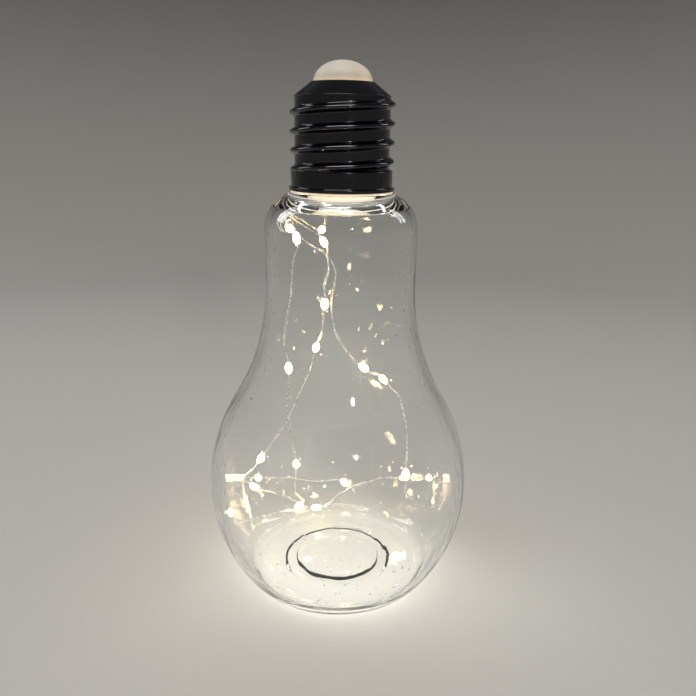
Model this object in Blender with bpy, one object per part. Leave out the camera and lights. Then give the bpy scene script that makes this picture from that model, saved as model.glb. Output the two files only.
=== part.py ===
"""Light bulb lamp: a clear glass bulb that stands on its base, with a string of small lights inside
and a threaded metal-look cap on top that holds the batteries and the push button.

Blender 4.5, metres, +Z up. The origin is the middle of the glass foot, on the table.
"""

import math

import bmesh
import bpy
from mathutils import Matrix, Vector

MM = 0.001

# Glass bulb, outside sizes
belly_diameter = 125.0 * MM
belly_height = 49.6 * MM
belly_top_arc = 81.5 * MM
belly_foot_arc = 75.0 * MM
waist_arc = 105.5 * MM
neck_diameter = 68.4 * MM
shoulder_arc = 16.0 * MM
glass_height = 189.0 * MM
glass_wall = 3.0 * MM
mouth_rounding = 0.9 * MM
bore_depth = 6.8 * MM
bore_foot_rounding = 0.8 * MM
ledge_slope = 0.8 * MM
foot_corner_arc = 9.0 * MM
floor_corner_arc = 16.0 * MM
base_wall = 3.4 * MM
foot_ring_inner_diameter = 55.0 * MM
punt_crease_diameter = 51.0 * MM
punt_step = 1.4 * MM
punt_crown = 0.2 * MM
lens_foot_diameter = 43.0 * MM
lens_edge_diameter = 41.0 * MM
lens_step = 1.4 * MM
lens_crown = 1.6 * MM

# Threaded cap
washer_thickness = 0.5 * MM
washer_gap = 0.15 * MM
washer_inset = 0.2 * MM
thread_crest_diameter = 45.6 * MM
rim_seat_width = 1.8 * MM
mouth_bore = thread_crest_diameter - 2 * rim_seat_width
thread_pitch = 7.8 * MM
thread_depth = 2.1 * MM
thread_start_height = 28.2 * MM
thread_width_share = 0.5
band_diameter = thread_crest_diameter - 1.2 * MM
band_height = 8.6 * MM
band_rounding = 0.6 * MM
lip_diameter = band_diameter + 2.0 * MM
lip_height = 1.5 * MM
edge_rounding = 0.2 * MM
cone_height = 5.6 * MM
cone_foot_diameter = thread_crest_diameter - 4.0 * MM
cone_swell = 0.15 * MM
bore_top_drop = 3.4 * MM
thread_fade_share = 0.35
cap_land = 0.8 * MM
cap_wall = 1.3 * MM
cap_bore = thread_crest_diameter - 2 * (thread_depth + cap_wall)
top_wall = 1.4 * MM

# Push button
dome_diameter = 25.0 * MM
dome_height = 8.7 * MM
dome_wall = 1.3 * MM
dome_clearance = 0.3 * MM
flange_width = 1.3 * MM
flange_thickness = 1.0 * MM
post_diameter = 3.6 * MM
button_travel = 0.8 * MM

# Battery case, door and seal
case_clearance = 0.3 * MM
plug_depth = 7.8 * MM
plug_flange_thickness = 1.4 * MM
seal_wall = 2.5 * MM
seal_body_relief = 0.8 * MM
snap_height = 1.0 * MM
snap_depth = 0.4 * MM
snap_level = 5.4 * MM
plug_edge = 0.4 * MM
seal_rib = 0.35 * MM
board_seat_diameter = dome_diameter - 2 * dome_wall - 0.8 * MM
cell_diameter = 10.3 * MM
cell_length = 43.7 * MM
cell_nub_diameter = 3.8 * MM
cell_nub_height = 0.8 * MM
cell_shoulder = 0.6 * MM
cell_foot_inset = 0.8 * MM
bay_clearance = 0.35 * MM
bay_wall = 0.8 * MM
cell_spacing = cell_diameter + 2 * bay_clearance + bay_wall
ceiling_wall = 0.9 * MM
contact_room = 2.25 * MM
spring_pocket_diameter = 7.6 * MM
door_diameter = 26.4 * MM
door_thickness = 1.7 * MM
door_inset = 0.2 * MM
lug_reach = 1.2 * MM
lug_thickness = 0.7 * MM
lug_width_deg = 24.0
lug_play_deg = 5.0
lug_count = 3
door_turn_deg = 45.0
coin_slot_length = 11.0 * MM
coin_slot_width = 1.8 * MM
coin_slot_depth = 0.8 * MM
contact_disc_diameter = cell_spacing + cell_diameter - 0.3 * MM
contact_lift = 0.05 * MM
sheet_metal = 0.3 * MM
rivet_diameter = 2.2 * MM
running_gap = 0.3 * MM
tight_gap = 0.2 * MM
hair_gap = 0.1 * MM
edge_break = 0.3 * MM
drill_overshoot = 1.0 * MM

# Contacts, board and what it carries
spring_wire = 0.5 * MM
spring_gap = 0.15 * MM
spring_turns = 2
spring_foot_diameter = 5.8 * MM
spring_tip_diameter = 3.0 * MM
contact_plate_diameter = 6.6 * MM
pin_diameter = 1.0 * MM
pin_clearance = 0.3 * MM
board_diameter = board_seat_diameter - 0.4 * MM
board_thickness = 1.0 * MM
board_sink = 0.3 * MM
solder_gap = 0.2 * MM
switch_side = 6.2 * MM
switch_height = 2.8 * MM
switch_floor = 0.6 * MM
plunger_diameter = 3.4 * MM
plunger_stand = 0.7 * MM
board_screw_offset = 8.6 * MM
board_screw_shank = 1.4 * MM
board_screw_head = 2.8 * MM
board_screw_head_height = 1.0 * MM
board_screw_length = 5.6 * MM
screw_tip_room = 0.6 * MM

# String of lights
wire_diameter = 0.8 * MM
bead_diameter = 3.4 * MM
bead_length = 5.6 * MM
bead_straight = 0.5 * MM
bead_bore = 1.3 * MM
bead_end_wall = 0.35 * MM
exit_wall = 0.56 * MM
exit_deg = -113.3
channel_diameter = 2.4 * MM
lead_bend = 1.6 * MM
lead_sink = 1.6 * MM
lead_wall = 0.8 * MM
lead_start = 0.9 * MM
grommet_length = 3.2 * MM
grommet_bore = 1.25 * MM
grommet_flange_diameter = 3.2 * MM
grommet_flange_thickness = 0.8 * MM

# How round the turned pieces are
fine_sides = 36
case_sides = 28
coarse_sides = 18
small_sides = 12
bead_sides = 8
rows_per_pitch = 9
bend_per_point = math.radians(32)
longest_run = 22.0 * MM
shortest_run = 1.4 * MM

# The bulb that the string's route was laid out in
drawn_belly = 125.0 * MM
drawn_neck = 68.4 * MM
drawn_height = 189.0 * MM

# The string's route in millimetres, from under its grommet to its end. A point marked True is a light.
STRING_ROUTE = [
    (-6.6, -15.0, 179.0, False), (-8.4, -10.0, 173.6, True),
    (-13.0, -1.0, 173.8, False), (-19.0, 3.5, 177.2, False), (-24.2, -2.0, 180.4, False),
    (-23.0, -11.5, 177.0, False), (-18.6, -16.6, 170.8, True), (-19.8, -18.2, 161.0, False),
    (-20.8, -18.2, 148.4, False), (-23.0, -17.0, 133.8, False), (-24.2, -17.4, 124.2, False),
    (-22.2, -19.4, 113.0, True), (-23.8, -14.0, 91.5, False), (-22.4, -9.0, 73.0, False),
    (-20.6, -5.0, 58.2, True), (-22.0, 4.0, 38.6, False), (-20.8, 15.0, 23.3, True),
    (-31.0, 8.6, 23.4, False), (-39.8, 1.4, 24.4, False), (-49.6, -6.0, 26.4, False),
    (-53.5, -11.1, 34.6, True), (-52.8, -12.4, 42.0, False), (-48.6, -9.6, 49.2, False),
    (-39.0, 0.4, 58.2, True),
    (-33.4, 2.4, 65.8, False), (-24.8, 7.0, 79.5, False), (-14.6, 15.0, 101.6, False),
    (-11.9, 18.0, 111.3, True), (-8.8, 8.4, 122.8, False), (-7.4, -5.6, 133.0, False),
    (-6.8, -11.6, 140.9, True), (-7.2, -9.4, 149.1, False), (-5.6, -3.4, 154.7, False),
    (-6.4, 3.6, 160.4, False), (-8.1, 9.0, 165.3, True), (-12.4, 10.4, 169.4, False),
    (-19.8, 7.6, 175.0, False), (-24.6, 3.4, 179.0, False), (-27.4, 0.0, 177.2, False),
    (-27.6, -2.8, 174.0, False), (-25.6, -4.6, 171.8, False), (-22.9, -4.8, 172.2, False),
    (-21.4, -3.4, 174.4, False), (-22.4, -0.8, 176.4, False), (-24.6, 2.4, 175.6, False),
    (-24.0, 6.4, 171.8, True), (-19.0, 7.0, 167.4, False), (-12.4, 2.4, 164.2, False),
    (-6.2, -3.6, 161.6, False),
    (-2.4, -5.0, 154.9, False), (-2.6, -5.0, 149.0, False), (-4.0, -5.6, 141.6, False),
    (-2.6, -7.6, 129.0, False), (1.2, -10.4, 121.2, False), (5.2, -13.4, 117.0, False),
    (10.8, -15.6, 112.4, True), (20.2, -9.4, 104.6, True), (27.4, -12.0, 96.8, False),
    (30.0, -18.0, 88.6, False), (30.8, -24.0, 79.6, False), (30.4, -29.4, 66.2, True),
    (32.0, -24.6, 53.4, False), (43.6, -14.4, 40.4, False), (54.4, -6.0, 40.6, False),
    (53.0, 2.0, 44.6, False), (47.4, 9.0, 44.2, True), (44.6, 24.0, 35.0, False),
    (37.4, 35.6, 29.4, True), (23.4, 43.4, 25.0, False), (5.6, 41.0, 19.4, False),
    (-12.2, 33.0, 11.6, True), (-26.4, 26.0, 21.6, False), (-38.4, 12.4, 33.6, False),
    (-44.4, 9.6, 37.6, True), (-49.6, 15.6, 39.0, False), (-44.6, 27.4, 33.2, True),
    (-29.4, 39.4, 26.8, False), (-8.4, 46.0, 21.4, False), (3.8, 46.6, 20.2, True),
    (9.6, 44.2, 14.6, False),
]

# Levels above the table that follow from the sizes
washer_bottom = glass_height + washer_gap
washer_top = washer_bottom + washer_thickness
rim_level = washer_top + washer_gap
plug_bottom = rim_level - plug_depth
recess_top = plug_bottom + door_inset + door_thickness + running_gap
disc_level = recess_top + contact_lift
cell_bottom = disc_level + sheet_metal + running_gap
cell_top = cell_bottom + cell_length + cell_nub_height
bay_top = cell_top + running_gap
ceiling_level = bay_top + contact_room
seat_level = ceiling_level + ceiling_wall
board_level = seat_level + running_gap
board_top = board_level + board_thickness
cap_top = board_top + board_sink
cap_height = cap_top - rim_level
cone_foot_height = cap_height - cone_height
bore_height = cone_foot_height - bore_top_drop
flange_top = cap_top - top_wall - running_gap
shoulder_level = flange_top - flange_thickness - button_travel - running_gap
switch_bottom = board_top + solder_gap
switch_top = switch_bottom + switch_height

# Radii and places that follow from the sizes
cell_offset = cell_spacing / 2
mouth_radius = mouth_bore / 2
neck_radius = neck_diameter / 2
collar_radius = mouth_radius - running_gap - seal_wall
case_radius = cap_bore / 2 - case_clearance
opening_radius = dome_diameter / 2 + dome_clearance
flange_radius = dome_diameter / 2 + flange_width
groove_radius = door_diameter / 2 + lug_reach + running_gap
exit_radius = collar_radius - exit_wall - channel_diameter / 2
exit_turn = math.radians(exit_deg)
exit_x = exit_radius * math.cos(exit_turn)
exit_y = exit_radius * math.sin(exit_turn)
lead_run = shoulder_level - lead_sink
lead_riser_radius = board_seat_diameter / 2 - lead_wall - channel_diameter / 2


def clear_scene():
    for obj in list(bpy.data.objects):
        bpy.data.objects.remove(obj, do_unlink=True)


def make_material(name, color, roughness, metallic=0.0, transmission=0.0, glow=0.0):
    material = bpy.data.materials.new(name)
    material.use_nodes = True
    shader = material.node_tree.nodes["Principled BSDF"]
    shader.inputs["Base Color"].default_value = (*color, 1.0)
    shader.inputs["Roughness"].default_value = roughness
    shader.inputs["Metallic"].default_value = metallic
    shader.inputs["Transmission Weight"].default_value = transmission
    if glow:
        shader.inputs["Emission Color"].default_value = (*color, 1.0)
        shader.inputs["Emission Strength"].default_value = glow
    material.diffuse_color = (*color, 1.0)
    return material


def add_object(name, bm, material, smooth_deg=None, guide=False):
    """Makes an object from the mesh, with its faces pointing out."""
    bmesh.ops.recalc_face_normals(bm, faces=bm.faces)
    mesh = bpy.data.meshes.new(name)
    bm.to_mesh(mesh)
    bm.free()
    obj = bpy.data.objects.new(name, mesh)
    bpy.context.scene.collection.objects.link(obj)
    if material:
        mesh.materials.append(material)
    if smooth_deg is not None:
        mesh.shade_smooth()
        mesh.set_sharp_from_angle(angle=math.radians(smooth_deg))
    if guide:
        obj.hide_render = True
        obj.display_type = "WIRE"
    return obj


def arc(center, radius, start_deg, end_deg, steps):
    """Points (r, z) along an arc about center, both ends included."""
    points = []
    for i in range(steps + 1):
        angle = math.radians(start_deg + (end_deg - start_deg) * i / steps)
        points.append((center[0] + radius * math.cos(angle), center[1] + radius * math.sin(angle)))
    return points


def turned(name, profile, sides, material, smooth_deg=35, closed=False, guide=False, start=0.0):
    """Spins a profile of (r, z) points round Z from the angle start. A closed profile makes a ring."""
    bm = bmesh.new()
    verts = [bm.verts.new((r * math.cos(start), r * math.sin(start), z)) for r, z in profile]
    pairs = list(zip(verts, verts[1:] + verts[:1])) if closed else list(zip(verts, verts[1:]))
    edges = [bm.edges.new(pair) for pair in pairs]
    bmesh.ops.spin(bm, geom=verts + edges, cent=(0, 0, 0), axis=(0, 0, 1), angle=math.tau,
                   steps=sides, use_merge=True)
    bmesh.ops.remove_doubles(bm, verts=bm.verts, dist=1e-7)
    bmesh.ops.dissolve_degenerate(bm, dist=1e-7, edges=bm.edges)
    return add_object(name, bm, material, smooth_deg, guide)


def column(name, radius, bottom, top, sides):
    """A round drill about Z. It starts half a side round, so its corners miss those it cuts."""
    profile = [(0.0, bottom), (radius, bottom), (radius, top), (0.0, top)]
    return turned(name, profile, sides, None, guide=True, start=math.pi / sides)


def block(name, size, center, material, guide=False):
    """A box of this size about center, with its sides along the axes."""
    bm = bmesh.new()
    scale = Matrix.Diagonal((*size, 1.0))
    bmesh.ops.create_cube(bm, size=1.0, matrix=Matrix.Translation(center) @ scale)
    return add_object(name, bm, material, None, guide)


def sector(name, outer_radius, bottom, top, middle_deg, width_deg, steps=4):
    """A wedge about Z, from the axis out to outer_radius."""
    bm = bmesh.new()
    start, end = middle_deg - width_deg / 2, middle_deg + width_deg / 2
    outline = [(0.0, 0.0)] + arc((0.0, 0.0), outer_radius, start, end, steps)
    face = bm.faces.new([bm.verts.new((x, y, bottom)) for x, y in outline])
    raised = bmesh.ops.extrude_face_region(bm, geom=[face])["geom"]
    lifted = [v for v in raised if isinstance(v, bmesh.types.BMVert)]
    bmesh.ops.translate(bm, verts=lifted, vec=(0, 0, top - bottom))
    return add_object(name, bm, None, None, guide=True)


def combine(obj, others, operation="DIFFERENCE"):
    """Adds one Boolean for each of the others."""
    for other in others:
        modifier = obj.modifiers.new(other.name, "BOOLEAN")
        modifier.operation = operation
        modifier.solver = "EXACT"
        modifier.object = other
    return obj


def parent_all(objects, empty):
    for obj in objects:
        obj.parent = empty
        obj.matrix_parent_inverse = empty.matrix_world.inverted()


def add_empty(name, location):
    empty = bpy.data.objects.new(name, None)
    empty.location = location
    empty.empty_display_size = 0.01
    bpy.context.scene.collection.objects.link(empty)
    bpy.context.view_layer.update()
    return empty


# Glass bulb

def bulb_wall(offset, bottom, corner, top, steps):
    """One side of the glass from the middle of its corner arc up to this top level, offset inwards."""
    belly_radius = belly_diameter / 2
    foot_center = (belly_radius - belly_foot_arc, belly_height)
    foot_radius = belly_foot_arc - offset
    reach = foot_radius - corner
    corner_z = bottom + corner
    corner_r = foot_center[0] + math.sqrt(reach**2 - (belly_height - corner_z) ** 2)
    join_deg = math.degrees(math.atan2(corner_z - belly_height, corner_r - foot_center[0]))
    top_center = (belly_radius - belly_top_arc, belly_height)
    waist_r = neck_radius + waist_arc
    between = belly_top_arc + waist_arc
    waist_z = belly_height + math.sqrt(between**2 - (waist_r - top_center[0]) ** 2)
    turn_deg = math.degrees(math.atan2(waist_z - belly_height, waist_r - top_center[0]))
    shoulder_r = neck_radius - shoulder_arc
    full_rise = math.sqrt(shoulder_arc**2 - (mouth_radius + glass_wall - shoulder_r) ** 2)
    shoulder_z = glass_height - mouth_rounding - full_rise
    end_deg = math.degrees(math.asin((top - shoulder_z) / (shoulder_arc - offset)))
    points = arc((corner_r, corner_z), corner, -90, join_deg, steps[0])
    points += arc(foot_center, foot_radius, join_deg, 0, steps[1])[1:]
    points += arc(top_center, belly_top_arc - offset, 0, turn_deg, steps[2])[1:]
    points += arc((waist_r, waist_z), waist_arc + offset, 180 + turn_deg, 180, steps[3])[1:]
    points += arc((shoulder_r, shoulder_z), shoulder_arc - offset, 0, end_deg, steps[4])
    return points


def raised_middle(level, foot_diameter, edge_diameter, step, crown, steps):
    """A low rounded step up from this level, then a gentle crown, from the outside in to the axis."""
    foot = foot_diameter / 2
    edge = edge_diameter / 2
    points = []
    for i in range(steps[0] + 1):
        share = i / steps[0]
        points.append((foot + (edge - foot) * share, level + step * share * share * (3 - 2 * share)))
    for i in range(1, steps[1] + 1):
        r = edge * (1 - i / steps[1])
        points.append((r, level + step + crown * (1 - (r / edge) ** 2)))
    return points


def make_glass(material):
    bore_foot = glass_height - bore_depth
    outside = bulb_wall(0.0, 0.0, foot_corner_arc, glass_height - mouth_rounding, (2, 4, 5, 4, 4))
    inside = bulb_wall(glass_wall, base_wall, floor_corner_arc, bore_foot - ledge_slope, (2, 3, 4, 3, 3))
    bore = [(mouth_radius + bore_foot_rounding, bore_foot), (mouth_radius, bore_foot + bore_foot_rounding)]
    lip = arc((mouth_radius + mouth_rounding, glass_height - mouth_rounding), mouth_rounding, 180, 90, 2)
    lip += arc((mouth_radius + glass_wall - mouth_rounding, glass_height - mouth_rounding),
               mouth_rounding, 90, 45, 1)
    lens = raised_middle(base_wall, lens_foot_diameter, lens_edge_diameter, lens_step, lens_crown, (3, 3))
    punt = raised_middle(0.0, foot_ring_inner_diameter, punt_crease_diameter, punt_step, punt_crown, (3, 2))
    profile = lens[::-1] + inside + bore + lip + outside[::-1][1:] + punt
    return turned("glass_bulb", profile, fine_sides, material)


# Cap

def thread_share(height):
    """How much of the thread's depth stands at this height: it rises from nothing above the plain band."""
    return min(1.0, max(0.0, (height - band_height) / (thread_pitch * thread_fade_share)))


def cone_radius(height):
    """The cone's radius, carried on down below its foot, where it trims the thread's last turn."""
    land = opening_radius + cap_land
    slope = (cone_foot_diameter / 2 - land) / cone_height
    return cone_foot_diameter / 2 + (cone_foot_height - height) * slope


def thread_form(phase):
    """The thread's section over one turn: a rounded crest at phase 0, and a plain valley between crests."""
    away = abs((phase + math.pi) % math.tau - math.pi) / (math.pi * thread_width_share)
    return max(0.0, 1.0 - away**2) ** 1.5


def make_cap_shell(material):
    """A grid of rings, each with its radius raised along the helix, closed by a plain inner wall."""
    valley = thread_crest_diameter / 2 - thread_depth
    rings = []
    land = opening_radius + cap_land
    rings.append((opening_radius, cap_height - top_wall, 0.0))
    rings.append((opening_radius, cap_height - edge_rounding, 0.0))
    rings.append((opening_radius + edge_rounding, cap_height, 0.0))
    rings.append((land, cap_height, 0.0))
    cone_foot = cone_foot_diameter / 2
    rings.append(((land + cone_foot) / 2 + cone_swell, (cap_height + cone_foot_height) / 2, 0.0))
    rings.append((cone_foot, cone_foot_height, 0.0))
    rows = math.ceil((cone_foot_height - band_height) / (thread_pitch / rows_per_pitch))
    for i in range(1, rows + 1):
        height = cone_foot_height + (band_height - cone_foot_height) * i / rows
        rings.append((min(valley, cone_radius(height)), height, thread_share(height)))
    band = band_diameter / 2
    lip = lip_diameter / 2
    rings.append((band, band_height - band_rounding, 0.0))
    rings.append((band, lip_height + edge_rounding, 0.0))
    rings.append((lip - edge_rounding, lip_height, 0.0))
    rings.append((lip, lip_height * 0.5, 0.0))
    rings.append((lip - edge_rounding, 0.0, 0.0))
    bore = cap_bore / 2
    pocket = flange_radius + running_gap
    groove_low = snap_level - running_gap
    groove_high = snap_level + snap_height + running_gap
    rings.append((bore, 0.0, 0.0))
    rings.append((bore, groove_low, 0.0))
    rings.append((bore + snap_depth, groove_low, 0.0))
    rings.append((bore + snap_depth, groove_high, 0.0))
    rings.append((bore, groove_high, 0.0))
    rings.append((bore, bore_height, 0.0))
    rings.append((cone_foot - top_wall * 1.2, cone_foot_height - top_wall * 1.2, 0.0))
    rings.append((pocket, cap_height - top_wall * 2.2, 0.0))
    rings.append((pocket, cap_height - top_wall, 0.0))
    bm = bmesh.new()
    grid = []
    for radius, height, share in rings:
        ring = []
        for k in range(fine_sides):
            angle = math.tau * k / fine_sides
            phase = math.tau * (height - thread_start_height) / thread_pitch - angle
            r = radius + share * thread_depth * thread_form(phase)
            if share > 0:
                r = min(r, cone_radius(height))
            ring.append(bm.verts.new((r * math.cos(angle), r * math.sin(angle), rim_level + height)))
        grid.append(ring)
    for lower, upper in zip(grid, grid[1:] + grid[:1]):
        for k in range(fine_sides):
            n = (k + 1) % fine_sides
            bm.faces.new((lower[k], lower[n], upper[n], upper[k]))
    return add_object("cap_shell", bm, material, 35)


def make_dome(material):
    outer = dome_diameter / 2
    inner = outer - dome_wall
    top = cap_top + dome_height
    spring_line = cap_top + edge_rounding
    rise = top - spring_line
    post = post_diameter / 2
    post_bottom = switch_top + plunger_stand + running_gap
    steps = 5

    def oval(radius, height, from_deg, to_deg):
        points = []
        for i in range(steps + 1):
            angle = math.radians(from_deg + (to_deg - from_deg) * i / steps)
            points.append((radius * math.cos(angle), spring_line + height * math.sin(angle)))
        return points

    inner_rise = rise - dome_wall
    post_deg = math.degrees(math.acos(post / inner))
    profile = [(0.0, post_bottom), (post, post_bottom)]
    profile += oval(inner, inner_rise, post_deg, 0)
    profile += [(inner, flange_top - flange_thickness), (flange_radius, flange_top - flange_thickness)]
    profile += [(flange_radius, flange_top), (outer, flange_top)]
    profile += oval(outer, rise, 0, 90)
    profile[-1] = (0.0, top)
    return turned("dome_button", profile, case_sides, material)


def make_switch(body_material, plunger_material):
    body = block("switch_body", (switch_side, switch_side, switch_height),
                 (0, 0, (switch_bottom + switch_top) / 2), body_material)
    bore_floor = switch_bottom + switch_floor
    bore = column("switch_bore", plunger_diameter / 2 + running_gap, bore_floor,
                  switch_top + drill_overshoot, small_sides)
    combine(body, [bore])
    low = bore_floor + button_travel + running_gap
    high = switch_top + plunger_stand
    radius = plunger_diameter / 2
    profile = [(0.0, low), (radius, low), (radius, high - edge_break), (radius - edge_break, high),
               (0.0, high)]
    plunger = turned("switch_plunger", profile, small_sides, plunger_material)
    return body, plunger


# Battery case, seal and door

def make_case(material):
    bottom = plug_bottom
    collar_bottom = bottom + plug_flange_thickness
    flange = collar_radius + seal_wall - seal_body_relief - running_gap
    seat_radius = board_seat_diameter / 2
    cone_gap = flange_radius + running_gap
    step = rim_level + running_gap
    snap = rim_level + snap_level
    profile = [
        (0.0, bottom), (flange - plug_edge, bottom), (flange, bottom + plug_edge), (flange, collar_bottom),
        (collar_radius, collar_bottom), (collar_radius, step), (case_radius, step), (case_radius, snap),
        (case_radius + snap_depth, snap + snap_height * 0.6), (case_radius, snap + snap_height),
        (case_radius, rim_level + bore_height - running_gap), (cone_gap, shoulder_level),
        (seat_radius, shoulder_level), (seat_radius, seat_level), (0.0, seat_level),
    ]
    case = turned("battery_case", profile, case_sides, material)
    cutters = []
    for side in (-1, 1):
        bay = column("bay", cell_diameter / 2 + bay_clearance, bottom - drill_overshoot, bay_top,
                     coarse_sides)
        pocket = column("spring_pocket", spring_pocket_diameter / 2, bay_top - drill_overshoot,
                        ceiling_level, 16)
        pin_hole = column("pin_hole", pin_diameter / 2 + pin_clearance, ceiling_level - drill_overshoot,
                          board_level + drill_overshoot, bead_sides)
        for cutter in (bay, pocket, pin_hole):
            cutter.location.x = side * cell_offset
            cutters.append(cutter)
        screw_hole = column("screw_hole", board_screw_shank / 2 + tight_gap,
                            board_top - board_screw_length - screw_tip_room,
                            board_level + drill_overshoot, bead_sides)
        screw_hole.location.y = side * board_screw_offset
        cutters.append(screw_hole)
    lip_top = bottom + door_inset + door_thickness - lug_thickness - running_gap
    recess_radius = door_diameter / 2 + running_gap
    disc_radius = contact_disc_diameter / 2 + 2 * running_gap
    cutters.append(turned("door_bay", [
        (0.0, bottom - drill_overshoot), (recess_radius, bottom - drill_overshoot),
        (recess_radius, lip_top), (groove_radius, lip_top), (groove_radius, recess_top),
        (disc_radius, recess_top), (disc_radius, cell_bottom + hair_gap), (0.0, cell_bottom + hair_gap),
    ], case_sides, None, guide=True))
    for i in range(lug_count):
        middle = door_turn_deg + 360 / lug_count * i + 90
        cutters.append(sector(f"lug_notch_{i + 1}", groove_radius + tight_gap, bottom - drill_overshoot,
                              lip_top + edge_break, middle, lug_width_deg + lug_play_deg))
    channel = column("lead_channel", channel_diameter / 2, bottom - drill_overshoot,
                     shoulder_level + drill_overshoot, small_sides)
    channel.location = (exit_x, exit_y, 0)
    cutters.append(channel)
    slot_low = lead_run - wire_diameter
    slot_high = shoulder_level + wire_diameter
    slot_start = lead_riser_radius - channel_diameter / 3
    slot_length = exit_radius + channel_diameter / 3 - slot_start
    slot = block("lead_slot", (slot_length, channel_diameter - tight_gap, slot_high - slot_low),
                 (0, 0, 0), None, guide=True)
    slot.rotation_euler.z = exit_turn
    middle = slot_start + slot_length / 2
    slot.location = (middle * math.cos(exit_turn), middle * math.sin(exit_turn), (slot_low + slot_high) / 2)
    riser = column("lead_riser", channel_diameter / 2, slot_high - wire_diameter / 2,
                   board_level + drill_overshoot, small_sides)
    riser.location = (lead_riser_radius * math.cos(exit_turn), lead_riser_radius * math.sin(exit_turn), 0)
    cutters += [slot, riser]
    return combine(case, cutters)


def make_seal(material):
    inner = collar_radius + tight_gap
    outer = mouth_radius - running_gap
    body = outer - seal_body_relief
    low = plug_bottom + plug_flange_thickness + running_gap
    high = washer_bottom
    length = high - low
    washer = thread_crest_diameter / 2 - washer_inset
    crown, root = seal_rib * 0.5, seal_rib * 1.3
    profile = [(inner, washer_top), (washer, washer_top), (washer, washer_bottom), (body, washer_bottom)]
    for level in (high - length * 0.22, low + length * 0.22):
        profile += [(body, level + root), (outer, level + crown), (outer, level - crown), (body, level - root)]
    profile += [(body, low), (inner, low)]
    return turned("neck_seal", profile[::-1], case_sides, material, closed=True)


def make_door(door_material, metal):
    bottom = plug_bottom + door_inset
    top = bottom + door_thickness
    radius = door_diameter / 2
    rivet = rivet_diameter / 2
    rivet_top = disc_level + sheet_metal + contact_lift
    profile = [(0.0, bottom), (radius - edge_break, bottom), (radius, bottom + edge_break), (radius, top),
               (rivet, top), (rivet, rivet_top), (0.0, rivet_top)]
    door = turned("battery_door", profile, case_sides, door_material)
    lugs = []
    for i in range(lug_count):
        middle = 360 / lug_count * i + 90
        lugs.append(sector(f"lug_{i + 1}", radius + lug_reach, top - lug_thickness, top, middle,
                           lug_width_deg))
    combine(door, lugs, "UNION")
    slot = block("coin_slot", (coin_slot_length, coin_slot_width, coin_slot_depth * 2),
                 (0, 0, bottom), None, guide=True)
    combine(door, [slot])
    disc_inner = rivet + running_gap
    disc_outer = contact_disc_diameter / 2
    disc = turned("door_contact",
                  [(disc_inner, disc_level), (disc_outer, disc_level),
                   (disc_outer, disc_level + sheet_metal), (disc_inner, disc_level + sheet_metal)],
                  coarse_sides, metal, closed=True)
    return door, disc


# Cells, contacts and board

def make_cell(number, side, nub_up, material):
    radius = cell_diameter / 2
    nub = cell_nub_diameter / 2
    profile = [(0.0, 0.0), (radius - cell_foot_inset, 0.0), (radius, edge_break),
               (radius, cell_length - cell_shoulder), (radius - cell_shoulder, cell_length),
               (nub, cell_length), (nub, cell_length + cell_nub_height), (0.0, cell_length + cell_nub_height)]
    if not nub_up:
        full = cell_length + cell_nub_height
        profile = [(r, full - z) for r, z in profile][::-1]
    cell = turned(f"battery_cell_{number}", profile, coarse_sides, material)
    cell.location = (side * cell_offset, 0, cell_bottom)
    return cell


def make_contact(number, side, material):
    """A round plate under the case's ceiling with a pin that goes up through the board."""
    radius = contact_plate_diameter / 2
    pin = pin_diameter / 2
    top = ceiling_level - hair_gap
    pin_top = board_top + running_gap
    profile = [(0.0, top - sheet_metal), (radius, top - sheet_metal), (radius, top), (pin, top),
               (pin, pin_top), (0.0, pin_top)]
    plate = turned(f"contact_plate_{number}", profile, small_sides, material)
    plate.location.x = side * cell_offset
    return plate


def make_spring(number, side, material):
    """A cone spring between the plate and the cell, two turns of wire."""
    low = cell_top + spring_gap + spring_wire / 2
    high = ceiling_level - hair_gap - sheet_metal - spring_gap - spring_wire / 2
    curve = bpy.data.curves.new(f"contact_spring_{number}", "CURVE")
    curve.dimensions = "3D"
    spline = curve.splines.new("POLY")
    steps = 10 * spring_turns
    spline.points.add(steps)
    for i in range(steps + 1):
        share = i / steps
        angle = math.tau * spring_turns * share
        radius = (spring_foot_diameter + (spring_tip_diameter - spring_foot_diameter) * share) / 2
        height = high + (low - high) * share
        spline.points[i].co = (radius * math.cos(angle), radius * math.sin(angle), height, 1.0)
    curve.bevel_depth = spring_wire / 2
    curve.bevel_resolution = 1
    curve.use_fill_caps = True
    curve.materials.append(material)
    obj = bpy.data.objects.new(curve.name, curve)
    obj.location.x = side * cell_offset
    bpy.context.scene.collection.objects.link(obj)
    return obj


def make_board(material):
    bm = bmesh.new()
    bmesh.ops.create_cone(bm, cap_ends=True, segments=coarse_sides, radius1=board_diameter / 2,
                          radius2=board_diameter / 2, depth=board_thickness,
                          matrix=Matrix.Translation((0, 0, (board_level + board_top) / 2)))
    board = add_object("circuit_board", bm, material, 35)
    holes = []
    low, high = board_level - drill_overshoot, board_top + drill_overshoot
    for side in (-1, 1):
        pin_hole = column("board_pin_hole", pin_diameter / 2 + pin_clearance, low, high, bead_sides)
        pin_hole.location.x = side * cell_offset
        screw_hole = column("board_screw_hole", board_screw_shank / 2 + tight_gap, low, high, bead_sides)
        screw_hole.location.y = side * board_screw_offset
        holes += [pin_hole, screw_hole]
    lead_hole = column("board_lead_hole", wire_diameter / 2 + running_gap, low, high, bead_sides)
    lead_hole.location = (lead_riser_radius * math.cos(exit_turn), lead_riser_radius * math.sin(exit_turn), 0)
    holes.append(lead_hole)
    return combine(board, holes)


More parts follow.
